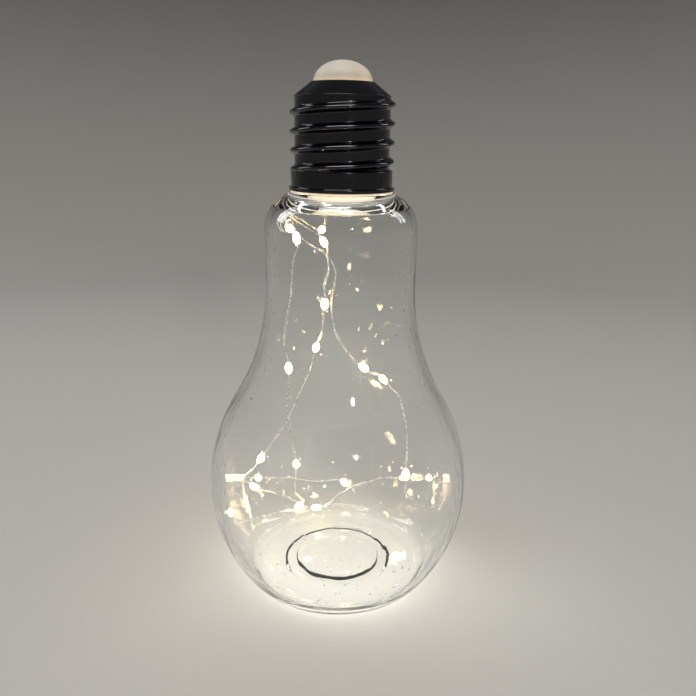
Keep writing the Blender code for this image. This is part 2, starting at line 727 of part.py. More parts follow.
def make_board_screw(number, side, material):
    head = board_screw_head / 2
    shank = board_screw_shank / 2
    seat = switch_bottom
    top = seat + board_screw_head_height
    tip = board_top - board_screw_length
    profile = [(0.0, tip), (shank * 0.5, tip), (shank, tip + shank), (shank, seat), (head, seat),
               (head, top - edge_break), (head - edge_break, top), (0.0, top)]
    screw = turned(f"board_screw_{number}", profile, small_sides, material)
    screw.location.y = side * board_screw_offset
    return screw


def make_chips(dark, pale, glow):
    specs = [
        ("control_chip", (4.2, 3.2, 1.2), (5.4, 5.8), dark),
        ("series_resistor", (2.0, 1.25, 0.6), (-6.6, 4.0), dark),
        ("smoothing_capacitor", (2.0, 1.25, 0.9), (-4.4, 6.6), pale),
        ("dome_led", (3.0, 2.0, 0.9), (6.4, -5.0), glow),
    ]
    made = []
    for name, size, place, material in specs:
        size = [side * MM for side in size]
        center = (place[0] * MM, place[1] * MM, switch_bottom + size[2] / 2)
        made.append(block(name, size, center, material))
    return made


# String of lights

def smooth_line(points, steps=16):
    """A centripetal Catmull-Rom curve through the points, as a fine list of points."""
    line = []
    padded = [2 * points[0] - points[1]] + list(points) + [2 * points[-1] - points[-2]]
    for p0, p1, p2, p3 in zip(padded, padded[1:], padded[2:], padded[3:]):
        t0 = 0.0
        t1 = t0 + math.sqrt((p1 - p0).length)
        t2 = t1 + math.sqrt((p2 - p1).length)
        t3 = t2 + math.sqrt((p3 - p2).length)
        for i in range(steps):
            t = t1 + (t2 - t1) * i / steps
            a1 = p0.lerp(p1, (t - t0) / (t1 - t0))
            a2 = p1.lerp(p2, (t - t1) / (t2 - t1))
            a3 = p2.lerp(p3, (t - t2) / (t3 - t2))
            b1 = a1.lerp(a2, (t - t0) / (t2 - t0))
            b2 = a2.lerp(a3, (t - t1) / (t3 - t1))
            line.append(b1.lerp(b2, (t - t1) / (t2 - t1)))
    line.append(points[-1].copy())
    return line


def route_points():
    """The route in metres from inside the grommet, sized to the bulb, and whether each point is a light."""
    wide = min(belly_diameter / drawn_belly, neck_diameter / drawn_neck) * MM
    tall = glass_height / drawn_height * MM
    start = Vector((exit_x, exit_y, plug_bottom + lead_start - running_gap))
    return [(start, False)] + [(Vector((x * wide, y * wide, z * tall)), lit) for x, y, z, lit in STRING_ROUTE]


def bead_places():
    """Each light's place and the direction of the wire through it."""
    route = route_points()
    found = []
    for i, (place, lit) in enumerate(route):
        if lit:
            along = (route[i + 1][0] - place).normalized() + (place - route[i - 1][0]).normalized()
            found.append((i, place, along.normalized()))
    return found


def wire_points():
    """The wire's corners: straight through each light, and close together where it bends."""
    half = bead_length / 2 + bead_straight
    beads = {i: along for i, _, along in bead_places()}
    controls, straight = [], []
    for i, (place, _) in enumerate(route_points()):
        if i in beads:
            controls += [place - beads[i] * half, place + beads[i] * half]
            straight += [True, False]
        else:
            controls.append(place)
            straight.append(False)
    steps = 16
    fine = smooth_line(controls, steps)
    kept = [fine[0]]
    turn = 0.0
    for span in range(len(controls) - 1):
        if straight[span]:
            kept += [controls[span], controls[span + 1]]
            turn = 0.0
            continue
        for k in range(1, steps):
            index = span * steps + k
            turn += (fine[index] - fine[index - 1]).angle(fine[index + 1] - fine[index])
            room_after = (controls[span + 1] - fine[index]).length
            run = (fine[index] - kept[-1]).length
            if (turn > bend_per_point or run > longest_run) and run > shortest_run and room_after > shortest_run:
                kept.append(fine[index])
                turn = 0.0
    kept.append(controls[-1])
    return kept


def add_wire(name, points, material):
    """A round wire along these points, closed at both ends."""
    curve = bpy.data.curves.new(name, "CURVE")
    curve.dimensions = "3D"
    spline = curve.splines.new("POLY")
    spline.points.add(len(points) - 1)
    for target, point in zip(spline.points, points):
        target.co = (*point, 1.0)
    curve.bevel_depth = wire_diameter / 2
    curve.bevel_resolution = 2
    curve.use_fill_caps = True
    curve.materials.append(material)
    obj = bpy.data.objects.new(name, curve)
    bpy.context.scene.collection.objects.link(obj)
    return obj


def make_board_lead(material):
    """The string's inner end: up its channel, over the case's shoulder and through the board."""
    out, up = Vector((math.cos(exit_turn), math.sin(exit_turn), 0)), Vector((0, 0, 1))
    far, near = exit_radius, lead_riser_radius
    corners = (0.0, math.pi / 6, math.pi / 3, math.pi / 2)
    points = [out * far + up * (plug_bottom + lead_start)]
    for angle in corners:
        inwards, upwards = 1 - math.cos(angle), math.sin(angle)
        points.append(out * (far - lead_bend * inwards) + up * (lead_run - lead_bend * (1 - upwards)))
    for angle in corners:
        inwards, upwards = math.sin(angle), 1 - math.cos(angle)
        points.append(out * (near + lead_bend * (1 - inwards)) + up * (lead_run + lead_bend * upwards))
    points.append(out * near + up * (board_top + running_gap))
    return add_wire("board_lead", points, material)


def make_bead(number, place, along, material):
    bore = bead_bore / 2
    radius = bead_diameter / 2
    half = bead_length / 2
    profile = [(bore, -half), (bore + bead_end_wall, -half), (radius, -half * 0.3), (radius, half * 0.3),
               (bore + bead_end_wall, half), (bore, half)]
    bead = turned(f"led_bead_{number:02d}", profile, bead_sides, material, smooth_deg=60,
                  closed=True)
    bead.location = place
    bead.rotation_mode = "QUATERNION"
    bead.rotation_quaternion = along.to_track_quat("Z", "Y")
    return bead


def make_grommet(material):
    bore = grommet_bore / 2
    body = channel_diameter / 2 - tight_gap
    flange = grommet_flange_diameter / 2
    seat = plug_bottom - tight_gap
    low = seat - grommet_flange_thickness
    high = seat + grommet_length - grommet_flange_thickness
    profile = [(bore, low), (flange - edge_break, low), (flange, low + edge_break), (flange, seat),
               (body, seat), (body, high), (bore, high)]
    grommet = turned("wire_grommet", profile, small_sides, material, closed=True)
    grommet.location = (exit_x, exit_y, 0)
    return grommet


def main():
    clear_scene()
    glass = make_material("clear_glass", (0.86, 0.92, 0.88), 0.02, transmission=1.0)
    nickel = make_material("black_nickel", (0.10, 0.10, 0.11), 0.14, metallic=1.0)
    milky = make_material("milky_plastic", (0.86, 0.84, 0.76), 0.45)
    dome_milk = make_material("button_plastic", (0.84, 0.80, 0.70), 0.5)
    silicone = make_material("seal_silicone", (0.80, 0.80, 0.76), 0.55)
    grey_rubber = make_material("grommet_rubber", (0.55, 0.55, 0.52), 0.6)
    spring_steel = make_material("contact_steel", (0.62, 0.60, 0.56), 0.3, metallic=1.0)
    screw_steel = make_material("screw_steel", (0.5, 0.5, 0.52), 0.35, metallic=1.0)
    board_green = make_material("board_laminate", (0.05, 0.22, 0.10), 0.5)
    chip_black = make_material("chip_resin", (0.03, 0.03, 0.03), 0.5)
    ceramic = make_material("capacitor_ceramic", (0.52, 0.42, 0.28), 0.5)
    switch_black = make_material("switch_plastic", (0.05, 0.05, 0.05), 0.45)
    cell_wrap = make_material("cell_wrap", (0.12, 0.13, 0.15), 0.35)
    wire_silver = make_material("wire_enamel", (0.72, 0.71, 0.68), 0.25, metallic=1.0)
    led_warm = make_material("led_resin", (1.0, 0.82, 0.52), 0.2, glow=4.0)

    make_glass(glass)
    add_wire("light_wire", wire_points(), wire_silver)
    for number, (_, place, along) in enumerate(bead_places(), 1):
        make_bead(number, place, along, led_warm)

    cap_axis = add_empty("cap_lift_axis", (0, 0, rim_level))
    button_axis = add_empty("button_press_axis", (0, 0, cap_top))
    door_axis = add_empty("door_twist_axis", (0, 0, plug_bottom))
    parent_all([button_axis, door_axis], cap_axis)

    switch_body, plunger = make_switch(switch_black, milky)
    door, disc = make_door(milky, spring_steel)
    cap_pieces = [make_cap_shell(nickel), make_case(milky), make_seal(silicone), switch_body]
    for number, side in ((1, -1), (2, 1)):
        cap_pieces.append(make_cell(number, side, side < 0, cell_wrap))
        cap_pieces.append(make_contact(number, side, spring_steel))
        cap_pieces.append(make_spring(number, side, spring_steel))
        cap_pieces.append(make_board_screw(number, side, screw_steel))
    cap_pieces.append(make_board(board_green))
    cap_pieces += make_chips(chip_black, ceramic, led_warm)
    cap_pieces.append(make_grommet(grey_rubber))
    cap_pieces.append(make_board_lead(wire_silver))
    parent_all(cap_pieces, cap_axis)
    parent_all([make_dome(dome_milk), plunger], button_axis)
    parent_all([door, disc], door_axis)


main()
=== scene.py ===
# %% [markdown]
# Bulb lamp: load the frame
# The imported model is the frame that everything here is built on. It gives each piece's place and the
# bodies that move, so nothing is guessed twice.

# %% Load the imported model
import math

import bpy
import numpy as np
from mathutils import Matrix, Vector, noise


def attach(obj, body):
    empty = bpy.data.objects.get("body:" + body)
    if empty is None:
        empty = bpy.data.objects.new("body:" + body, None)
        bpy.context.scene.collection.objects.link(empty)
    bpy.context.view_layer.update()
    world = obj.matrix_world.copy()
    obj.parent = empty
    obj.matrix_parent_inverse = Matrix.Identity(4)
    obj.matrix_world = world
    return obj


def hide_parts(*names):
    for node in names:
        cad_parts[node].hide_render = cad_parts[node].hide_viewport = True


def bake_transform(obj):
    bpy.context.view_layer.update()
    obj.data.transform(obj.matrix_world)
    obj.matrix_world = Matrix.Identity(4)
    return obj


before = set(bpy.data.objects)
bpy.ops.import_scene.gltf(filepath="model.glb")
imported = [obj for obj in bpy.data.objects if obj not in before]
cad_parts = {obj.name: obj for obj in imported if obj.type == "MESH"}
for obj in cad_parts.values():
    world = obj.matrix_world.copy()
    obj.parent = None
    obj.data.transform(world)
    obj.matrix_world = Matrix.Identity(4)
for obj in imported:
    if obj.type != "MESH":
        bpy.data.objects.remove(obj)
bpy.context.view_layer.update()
MM = 0.001

# %% [markdown]
# The camera The lamp was photographed by hand from slightly above, close up with a wide lens. The
# place, tilt and lens below were found by laying the glass outline over the picture, so they are real
# sizes.

# %% The camera
camera_distance = 312.4 * MM
camera_height = 214.45 * MM
camera_tilt = math.radians(17.38)
camera_pan = math.radians(0.72)
camera_roll = math.radians(0.92)

lens = bpy.data.cameras.new("camera")
lens.sensor_width = 36.0
lens.lens = 35.77
lens.clip_start = 0.01
camera = bpy.data.objects.new("camera", lens)
bpy.context.scene.collection.objects.link(camera)
turn = Matrix.Rotation(-camera_pan, 4, "Z") @ Matrix.Rotation(math.pi / 2 - camera_tilt, 4, "X")
camera.matrix_world = (Matrix.Translation((0, -camera_distance, camera_height)) @ turn
                       @ Matrix.Rotation(camera_roll, 4, "Z"))
bpy.context.scene.camera = camera
print("camera at", [round(v, 3) for v in camera.matrix_world.translation])

# %% [markdown]
# Helpers for modelling
# Most of this lamp is turned: blown glass, a spun or moulded cap, a moulded plug. On a lathe or in a
# mould such a piece is one outline swept round an axis, so the helper does the same. It adds a circle as
# a loop of points, lays the points on the outline, and spins the loop in edit mode.

# %% Selecting and finishing


def deselect():
    """Nothing stays selected, so that the next operator acts on the new piece alone."""
    for obj in list(bpy.context.selected_objects):
        obj.select_set(False)


def only(obj):
    """Makes obj the only selected and the active object."""
    deselect()
    obj.select_set(True)
    bpy.context.view_layer.objects.active = obj
    return obj


def smooth(obj, angle_deg=40):
    """Round faces shade smooth and edges sharper than the angle stay crisp."""
    only(obj)
    bpy.ops.object.shade_smooth_by_angle(angle=math.radians(angle_deg))
    return obj


def apply_all(obj):
    """Applies every modifier in order."""
    only(obj)
    for modifier in list(obj.modifiers):
        bpy.ops.object.modifier_apply(modifier=modifier.name)
    return obj


def settle(obj):
    """Puts the piece's place into its mesh and its origin on the frame's."""
    only(obj)
    bpy.ops.object.transform_apply(location=True, rotation=True, scale=True)
    return obj


def mesh_facts(obj):
    """A line that says how large the piece's mesh is."""
    obj.data.calc_loop_triangles()
    return f"{obj.name}: {len(obj.data.vertices)} points, {len(obj.data.loop_triangles)} triangles"


# %% Outlines and the lathe


def arc(center, radius, start_deg, end_deg, steps):
    """Points (r, z) along an arc about center, both ends included."""
    points = []
    for i in range(steps + 1):
        angle = math.radians(start_deg + (end_deg - start_deg) * i / steps)
        points.append((center[0] + radius * math.cos(angle), center[1] + radius * math.sin(angle)))
    return points


def lathe(name, outline, sides, to_axis=True):
    """Spins an outline of (r, z) round Z. With to_axis its first and last points lie on the axis."""
    deselect()
    bpy.ops.mesh.primitive_circle_add(vertices=len(outline), radius=MM, fill_type="NOTHING")
    obj = bpy.context.object
    obj.name = obj.data.name = name
    for vertex, (r, z) in zip(obj.data.vertices, outline):
        vertex.co = (r, 0.0, z)
        vertex.select = False
    last = len(outline) - 1
    for edge in obj.data.edges:
        edge.select = to_axis and set(edge.vertices) == {0, last}
    bpy.ops.object.mode_set(mode="EDIT")
    if to_axis:
        bpy.ops.mesh.select_mode(type="EDGE")
        bpy.ops.mesh.delete(type="EDGE")
        bpy.ops.mesh.select_mode(type="VERT")
    bpy.ops.mesh.select_all(action="SELECT")
    bpy.ops.mesh.spin(steps=sides, angle=math.tau, center=(0, 0, 0), axis=(0, 0, 1))
    bpy.ops.mesh.select_all(action="SELECT")
    bpy.ops.mesh.remove_doubles(threshold=1e-7)
    bpy.ops.mesh.normals_make_consistent(inside=False)
    bpy.ops.object.mode_set(mode="OBJECT")
    return obj


def rounded(points, radius, steps=4):
    """The outline with each inner corner rounded by the radius, or by less where a side is short."""
    made = [points[0]]
    for before, here, after in zip(points, points[1:], points[2:]):
        a, b, c = Vector(before), Vector(here), Vector(after)
        inward, outward = (a - b), (c - b)
        if inward.length < 1e-9 or outward.length < 1e-9:
            continue
        reach = min(radius, inward.length * 0.45, outward.length * 0.45)
        start, end = b + inward.normalized() * reach, b + outward.normalized() * reach
        for i in range(steps + 1):
            t = i / steps
            place = start.lerp(b, t).lerp(b.lerp(end, t), t)
            made.append((place.x, place.y))
    made.append(points[-1])
    return made


# %% [markdown]
# Helpers for finishes
# A finish is a small graph of shader nodes. Writing it as sums, such as base + noise * 0.2, keeps it
# readable, so a tiny class wraps a socket and turns each sum into a Math node. A second class holds one
# material, its Principled shader and the one method that adds any other node. Most moulded or plated
# pieces want the same plain kind, two close tones and a gloss that varies, so one helper makes that.

# %% Sums on sockets


class Field:
    """A number that varies over a surface: a socket that can be used in sums."""

    def __init__(self, finish, socket):
        self.finish = finish
        self.socket = socket

    def _sum(self, operation, first, second):
        return self.finish.put("ShaderNodeMath", {"operation": operation}, {0: first, 1: second})

    def __add__(self, other):
        return self._sum("ADD", self, other)

    def __radd__(self, other):
        return self._sum("ADD", other, self)

    def __mul__(self, other):
        return self._sum("MULTIPLY", self, other)

    def __rmul__(self, other):
        return self._sum("MULTIPLY", other, self)


# %% One material


class Finish:
    """One material: its Principled shader and the nodes that vary it."""

    def __init__(self, name):
        self.material = bpy.data.materials.new(name)
        self.material.use_nodes = True
        self.tree = self.material.node_tree
        self.shader = self.tree.nodes["Principled BSDF"]
        self.output = self.tree.nodes["Material Output"]

    def put(self, kind, settings, inputs, output=0):
        """Adds a node, sets it, feeds its sockets, and returns one of its outputs."""
        node = self.tree.nodes.new(kind)
        for key, value in settings.items():
            setattr(node, key, value)
        for key, value in inputs.items():
            self.feed(node.inputs[key], value)
        return Field(self, node.outputs[output])

    def feed(self, socket, value):
        """Gives a socket a link, a colour or a plain value."""
        if isinstance(value, Field):
            self.tree.links.new(value.socket, socket)
        elif isinstance(value, tuple) and len(value) == 3 and socket.type == "RGBA":
            socket.default_value = (*value, 1.0)
        else:
            socket.default_value = value

    def set(self, **values):
        """Feeds the shader's own sockets, named with _ for a space."""
        for key, value in values.items():
            self.feed(self.shader.inputs[key.replace("_", " ")], value)
        return self

    def place(self):
        """Where the surface point is, in metres in the frame."""
        return self.put("ShaderNodeTexCoord", {}, {}, "Object")

    def cloudy(self, size, detail=3.0, roughness=0.55, stretch=(1, 1, 1)):
        """Soft noise from 0 to 1, with blobs about this size in metres."""
        where = self.put("ShaderNodeMapping", {}, {"Vector": self.place(), "Scale": stretch})
        return self.put("ShaderNodeTexNoise", {}, {
            "Vector": where, "Scale": 1.0 / size, "Detail": detail, "Roughness": roughness})

    def range(self, value, low, high, to_low, to_high):
        """The value led smoothly from one range over into another."""
        return self.put("ShaderNodeMapRange", {"interpolation_type": "SMOOTHSTEP"}, {
            "Value": value, "From Min": low, "From Max": high, "To Min": to_low, "To Max": to_high})

    def blend(self, share, first, second):
        """A colour between two others."""
        settings = {"data_type": "RGBA"}
        return self.put("ShaderNodeMix", settings, {0: share, 6: first, 7: second}, 2)

    def bump(self, height, depth, strength=1.0):
        """A normal pushed about by a height from 0 to 1 that stands for this depth in metres."""
        return self.put("ShaderNodeBump", {}, {
            "Strength": strength, "Distance": depth, "Height": height}, "Normal")

    def attribute(self, name):
        """A number that the mesh keeps for each of its points."""
        return self.put("ShaderNodeAttribute", {"attribute_name": name}, {}, "Fac")

    def axis(self, letter):
        """The surface point's place along X, Y or Z, in metres."""
        return self.put("ShaderNodeSeparateXYZ", {}, {"Vector": self.place()}, letter)

    def lets_lamps_through(self, tint=(1.0, 1.0, 1.0)):
        """Rays towards lamps pass straight through, as clear glass hardly dims them."""
        path = self.put("ShaderNodeLightPath", {}, {}, "Is Shadow Ray")
        clear = self.put("ShaderNodeBsdfTransparent", {}, {"Color": tint})
        mixer = self.put("ShaderNodeMixShader", {}, {0: path})
        self.tree.links.new(self.shader.outputs[0], mixer.socket.node.inputs[1])
        self.tree.links.new(clear.socket, mixer.socket.node.inputs[2])
        self.tree.links.new(mixer.socket, self.output.inputs["Surface"])
        return self


# %% The common kind of finish


def two_tone(name, tone_size, light, dark, grain_size, rough, **more):
    """A finish whose colour drifts between two tones and whose gloss varies in finer blobs."""
    finish = Finish(name)
    tone = finish.blend(finish.cloudy(tone_size), light, dark)
    gloss = finish.range(finish.cloudy(grain_size), 0.3, 0.7, *rough)
    return finish.set(Base_Color=tone, Roughness=gloss, **more)


def dress(obj, finish):
    """Gives the piece this finish and no other."""
    obj.data.materials.clear()
    obj.data.materials.append(finish.material)
    return obj


# %% [markdown]
# The string of lights: its route
# The string is about a metre of fine twin wire with twenty small lights. It was pushed in through the
# neck, so it hangs in a few loose strands and lies in wide loops round the belly. Its route is the given
# list of the solids, in millimetres, and a point marked True is a light. A curve through the
# points gives the bends, and stays straight through each light, where resin stiffens the wire.

# %% The route
route_start = (-6.5, -15.1, 182.6)
STRING_ROUTE = [
    (-6.6, -15.0, 179.0, False), (-8.4, -10.0, 173.6, True),
    (-13.0, -1.0, 173.8, False), (-19.0, 3.5, 177.2, False), (-24.2, -2.0, 180.4, False),
    (-23.0, -11.5, 177.0, False), (-18.6, -16.6, 170.8, True), (-19.8, -18.2, 161.0, False),
    (-20.8, -18.2, 148.4, False), (-23.0, -17.0, 133.8, False), (-24.2, -17.4, 124.2, False),
    (-22.2, -19.4, 113.0, True), (-23.8, -14.0, 91.5, False), (-22.4, -9.0, 73.0, False),
    (-20.6, -5.0, 58.2, True), (-22.0, 4.0, 38.6, False), (-20.8, 15.0, 23.3, True),
    (-31.0, 8.6, 23.4, False), (-39.8, 1.4, 24.4, False), (-49.6, -6.0, 26.4, False),
    (-53.5, -11.1, 34.6, True), (-52.8, -12.4, 42.0, False), (-48.6, -9.6, 49.2, False),
    (-39.0, 0.4, 58.2, True),
    (-33.4, 2.4, 65.8, False), (-24.8, 7.0, 79.5, False), (-14.6, 15.0, 101.6, False),
    (-11.9, 18.0, 111.3, True), (-8.8, 8.4, 122.8, False), (-7.4, -5.6, 133.0, False),
    (-6.8, -11.6, 140.9, True), (-7.2, -9.4, 149.1, False), (-5.6, -3.4, 154.7, False),
    (-6.4, 3.6, 160.4, False), (-8.1, 9.0, 165.3, True), (-12.4, 10.4, 169.4, False),
    (-19.8, 7.6, 175.0, False), (-24.6, 3.4, 179.0, False), (-27.4, 0.0, 177.2, False),
    (-27.6, -2.8, 174.0, False), (-25.6, -4.6, 171.8, False), (-22.9, -4.8, 172.2, False),
    (-21.4, -3.4, 174.4, False), (-22.4, -0.8, 176.4, False), (-24.6, 2.4, 175.6, False),
    (-24.0, 6.4, 171.8, True), (-19.0, 7.0, 167.4, False), (-12.4, 2.4, 164.2, False),
    (-6.2, -3.6, 161.6, False),
    (-2.4, -5.0, 154.9, False), (-2.6, -5.0, 149.0, False), (-4.0, -5.6, 141.6, False),
    (-2.6, -7.6, 129.0, False), (1.2, -10.4, 121.2, False), (5.2, -13.4, 117.0, False),
    (10.8, -15.6, 112.4, True), (20.2, -9.4, 104.6, True), (27.4, -12.0, 96.8, False),
    (30.0, -18.0, 88.6, False), (30.8, -24.0, 79.6, False), (30.4, -29.4, 66.2, True),
    (32.0, -24.6, 53.4, False), (43.6, -14.4, 40.4, False), (54.4, -6.0, 40.6, False),
    (53.0, 2.0, 44.6, False), (47.4, 9.0, 44.2, True), (44.6, 24.0, 35.0, False),
    (37.4, 35.6, 29.4, True), (23.4, 43.4, 25.0, False), (5.6, 41.0, 19.4, False),
    (-12.2, 33.0, 11.6, True), (-26.4, 26.0, 21.6, False), (-38.4, 12.4, 33.6, False),
    (-44.4, 9.6, 37.6, True), (-49.6, 15.6, 39.0, False), (-44.6, 27.4, 33.2, True),
    (-29.4, 39.4, 26.8, False), (-8.4, 46.0, 21.4, False), (3.8, 46.6, 20.2, True),
    (9.6, 44.2, 14.6, False),
]
wire_exit = Vector((-6.5, -15.1, 181.0)) * MM
bead_length = 5.6 * MM
bead_diameter = 3.4 * MM
straight_end = 0.5 * MM
route = [(Vector(route_start) * MM, False)]
route += [(Vector(point[:3]) * MM, point[3]) for point in STRING_ROUTE]


def along_wire(i):
    """The wire's direction through a point of the route."""
    after, before = route[i + 1][0] - route[i][0], route[i][0] - route[i - 1][0]
    return (after.normalized() + before.normalized()).normalized()


def smooth_line(points, steps=16):
    """A centripetal Catmull-Rom curve through the points, as one list of fine points for each span."""
    spans = []
    padded = [2 * points[0] - points[1]] + list(points) + [2 * points[-1] - points[-2]]
    for p0, p1, p2, p3 in zip(padded, padded[1:], padded[2:], padded[3:]):
        t0 = 0.0
        t1 = t0 + math.sqrt((p1 - p0).length)
        t2 = t1 + math.sqrt((p2 - p1).length)
        t3 = t2 + math.sqrt((p3 - p2).length)
        span = []
        for i in range(steps):
            t = t1 + (t2 - t1) * i / steps
            a1 = p0.lerp(p1, (t - t0) / (t1 - t0))
            a2 = p1.lerp(p2, (t - t1) / (t2 - t1))
            a3 = p2.lerp(p3, (t - t2) / (t3 - t2))
            b1 = a1.lerp(a2, (t - t0) / (t2 - t0))
            b2 = a2.lerp(a3, (t - t1) / (t3 - t1))
            span.append(b1.lerp(b2, (t - t1) / (t2 - t1)))
        spans.append(span)
    return spans


lights = [(place, along_wire(i)) for i, (place, lit) in enumerate(route) if lit]
controls = []
in_bead = []
for i, (place, lit) in enumerate(route):
    if lit:
        reach = along_wire(i) * (bead_length / 2 + straight_end)
        controls += [place - reach, place + reach]
        in_bead += [True, False]
    else:
        controls.append(place)
        in_bead.append(False)
line = []
for span, straight, start, end in zip(smooth_line(controls), in_bead, controls, controls[1:]):
    line += [start.lerp(end, i / 8) for i in range(8)] if straight else span
line.append(controls[-1])
corners = np.array(line)
walked = np.concatenate([[0.0], np.cumsum(np.linalg.norm(np.diff(corners, axis=0), axis=1))])
wire_length = float(walked[-1])
print(f"{len(lights)} lights on {wire_length / MM:.0f} mm of wire")

# %% [markdown]
# The string of lights: its wire
# Two enamelled strands run side by side with a slow twist. They part a little between the lights and
# open into a small eye in two places, as the photograph shows, and they carry the small kinks that such
# wire keeps from its reel. Each strand is a round curve that is turned into a mesh.

# %% The twin strands
strand_radius = 0.2 * MM
strand_gap = 0.62 * MM
gap_in_bead = 0.46 * MM
kink = 0.16 * MM
step = 0.7 * MM
stiff_run = 3 * MM
twist_length = 46 * MM
eyes = [(0.332, 0.006, 1.5 * MM), (0.5, 0.006, 1.2 * MM)]

count = int(wire_length / step)
distance = np.linspace(0.0, wire_length, count + 1)
centre = np.stack([np.interp(distance, walked, corners[:, k]) for k in range(3)], axis=1)
tangent = np.gradient(centre, axis=0)
tangent /= np.linalg.norm(tangent, axis=1)[:, None]
across = np.zeros_like(centre)
across[0] = np.cross(tangent[0], (0.0, 1.0, 0.0))
for i in range(1, count + 1):
    side = across[i - 1] - tangent[i] * np.dot(across[i - 1], tangent[i])
    across[i] = side / np.linalg.norm(side)
up = np.cross(tangent, across)
bead_places = np.array([place for place, _ in lights])
near_bead = np.min(np.linalg.norm(centre[:, None, :] - bead_places[None], axis=2), axis=1)
free = np.clip((near_bead - bead_length / 2) / stiff_run, 0.0, 1.0)
twist = distance / twist_length * math.tau


def wander(seed, length):
    """Slow noise along the wire, from about -1 to 1."""
    return np.array([noise.noise((d / length, seed, 0.0)) for d in distance]) * 1.6


parting = 1.0 + 1.2 * np.clip(wander(3.0, 14 * MM), -0.6, 1.0)
gap = gap_in_bead + free * (strand_gap - gap_in_bead) * parting
for share, reach, width in eyes:
    gap += free * width * np.exp(-((distance / wire_length - share) / reach) ** 2)


def strand_points(side):
    """One strand's own line beside the wire's centreline."""
    turn = twist + 0.6 * wander(7.0, 30 * MM)
    offset = (across * np.cos(turn)[:, None] + up * np.sin(turn)[:, None]) * (gap / 2 * side)[:, None]
    shared = across * wander(11.0, 6 * MM)[:, None] + up * wander(17.0, 7 * MM)[:, None]
    return centre + offset + shared * (kink * free)[:, None]


def strand(name, points):
    """A round strand with closed ends."""
    deselect()
    bpy.ops.curve.primitive_bezier_curve_add(location=(0, 0, 0))
    obj = bpy.context.object
    obj.name = name
    curve = obj.data
    curve.splines.clear()
    spline = curve.splines.new("POLY")
    spline.points.add(len(points) - 1)
    for target, point in zip(spline.points, points):
        target.co = (*point, 1.0)
    curve.bevel_depth = strand_radius
    curve.bevel_resolution = 1
    curve.use_fill_caps = True
    bpy.ops.object.convert(target="MESH")
    return bpy.context.object


wire = strand("light_string_wire", strand_points(-1))
second = strand("second_strand", strand_points(1))
only(wire)
second.select_set(True)
bpy.ops.object.join()
smooth(wire, 60)
print(mesh_facts(wire))

# %% [markdown]
# The string of lights: its lights
# Each light is a small chip soldered across the two strands and sealed in a drop of clear resin that
# pulls out along the wire. The drop is a sphere drawn out to that form, a little different each time.
# Every point keeps how close it is to the chip, and the finish makes it glow by that number.

# %% The drops of resin
chip_size = (1.2 * MM, 0.8 * MM, 1.7 * MM)
chip_bevel = 0.12 * MM
drop_fullness = 1.7
lump_height = 0.10
glow_reach = 0.55


def make_light(number, place, along):
    """One drop of resin with its chip, set on the wire and turned along it."""
    deselect()
    bpy.ops.mesh.primitive_uv_sphere_add(segments=24, ring_count=16, radius=1.0)
    drop = bpy.context.object
    drop.name = f"light_{number:02d}"
    glow = drop.data.attributes.new("glow", "FLOAT", "POINT")
    for vertex in drop.data.vertices:
        x, y, t = vertex.co
        around = math.hypot(x, y)
        full = math.sqrt(max(0.0, 1.0 - abs(t) ** drop_fullness))
        lump = 1.0 + lump_height * noise.noise((x * 0.9 + number * 7.3, y * 0.9, t * 1.3))
        girth = bead_diameter / 2 * full * lump * 0.94 / max(around, 1e-6)
        vertex.co = (x * girth, y * girth, t * bead_length / 2)
        glow.data[vertex.index].value = math.exp(-((t / glow_reach) ** 2))
    deselect()
    bpy.ops.mesh.primitive_cube_add(size=1.0)
    chip = bpy.context.object
    chip.scale = chip_size
    bpy.ops.object.transform_apply(location=False, rotation=False, scale=True)
    bpy.ops.object.mode_set(mode="EDIT")
    bpy.ops.mesh.select_all(action="SELECT")
    bpy.ops.mesh.bevel(offset=chip_bevel, segments=2)
    bpy.ops.object.mode_set(mode="OBJECT")
    drop.data.materials.append(resin.material)
    chip.data.materials.append(lit_chip.material)
    only(drop)
    chip.select_set(True)
    bpy.ops.object.join()
    drop.location = place
    drop.rotation_euler = along.to_track_quat("Z", "Y").to_euler()
    settle(drop)
    smooth(drop, 60)
    return drop


resin = Finish("light_resin")
glow_share = resin.attribute("glow")
resin.set(Base_Color=(1.0, 0.93, 0.80), Roughness=0.12, IOR=1.5, Transmission_Weight=0.6,
          Emission_Color=resin.blend(glow_share, (0.07, 0.03, 0.006), (1.0, 0.78, 0.42)),
          Emission_Strength=15.0)
lit_chip = Finish("light_chip")
lit_chip.set(Base_Color=(0.9, 0.85, 0.6), Roughness=0.5,
             Emission_Color=lit_chip.blend(lit_chip.cloudy(0.4 * MM), (1.0, 0.80, 0.45), (1.0, 0.92, 0.70)),
             Emission_Strength=160.0)
beads = []
for number, (place, along) in enumerate(lights, 1):
    beads.append(make_light(number, place, along))
print(mesh_facts(beads[0]), "and", len(beads) - 1, "more")

# %% [markdown]
# The glass
# The bulb was blown into a mould: a broad flat foot with a low recess, a thick lens of glass in the
# middle of its floor, a round belly, a long waist, a neck with a rounded shoulder, and a mouth that was
# ground to a straight bore for the plug and polished with a flame. The arcs are those of the solids, with
# many more points on each, and the wall has its real thickness, so the glass bends light as it should.

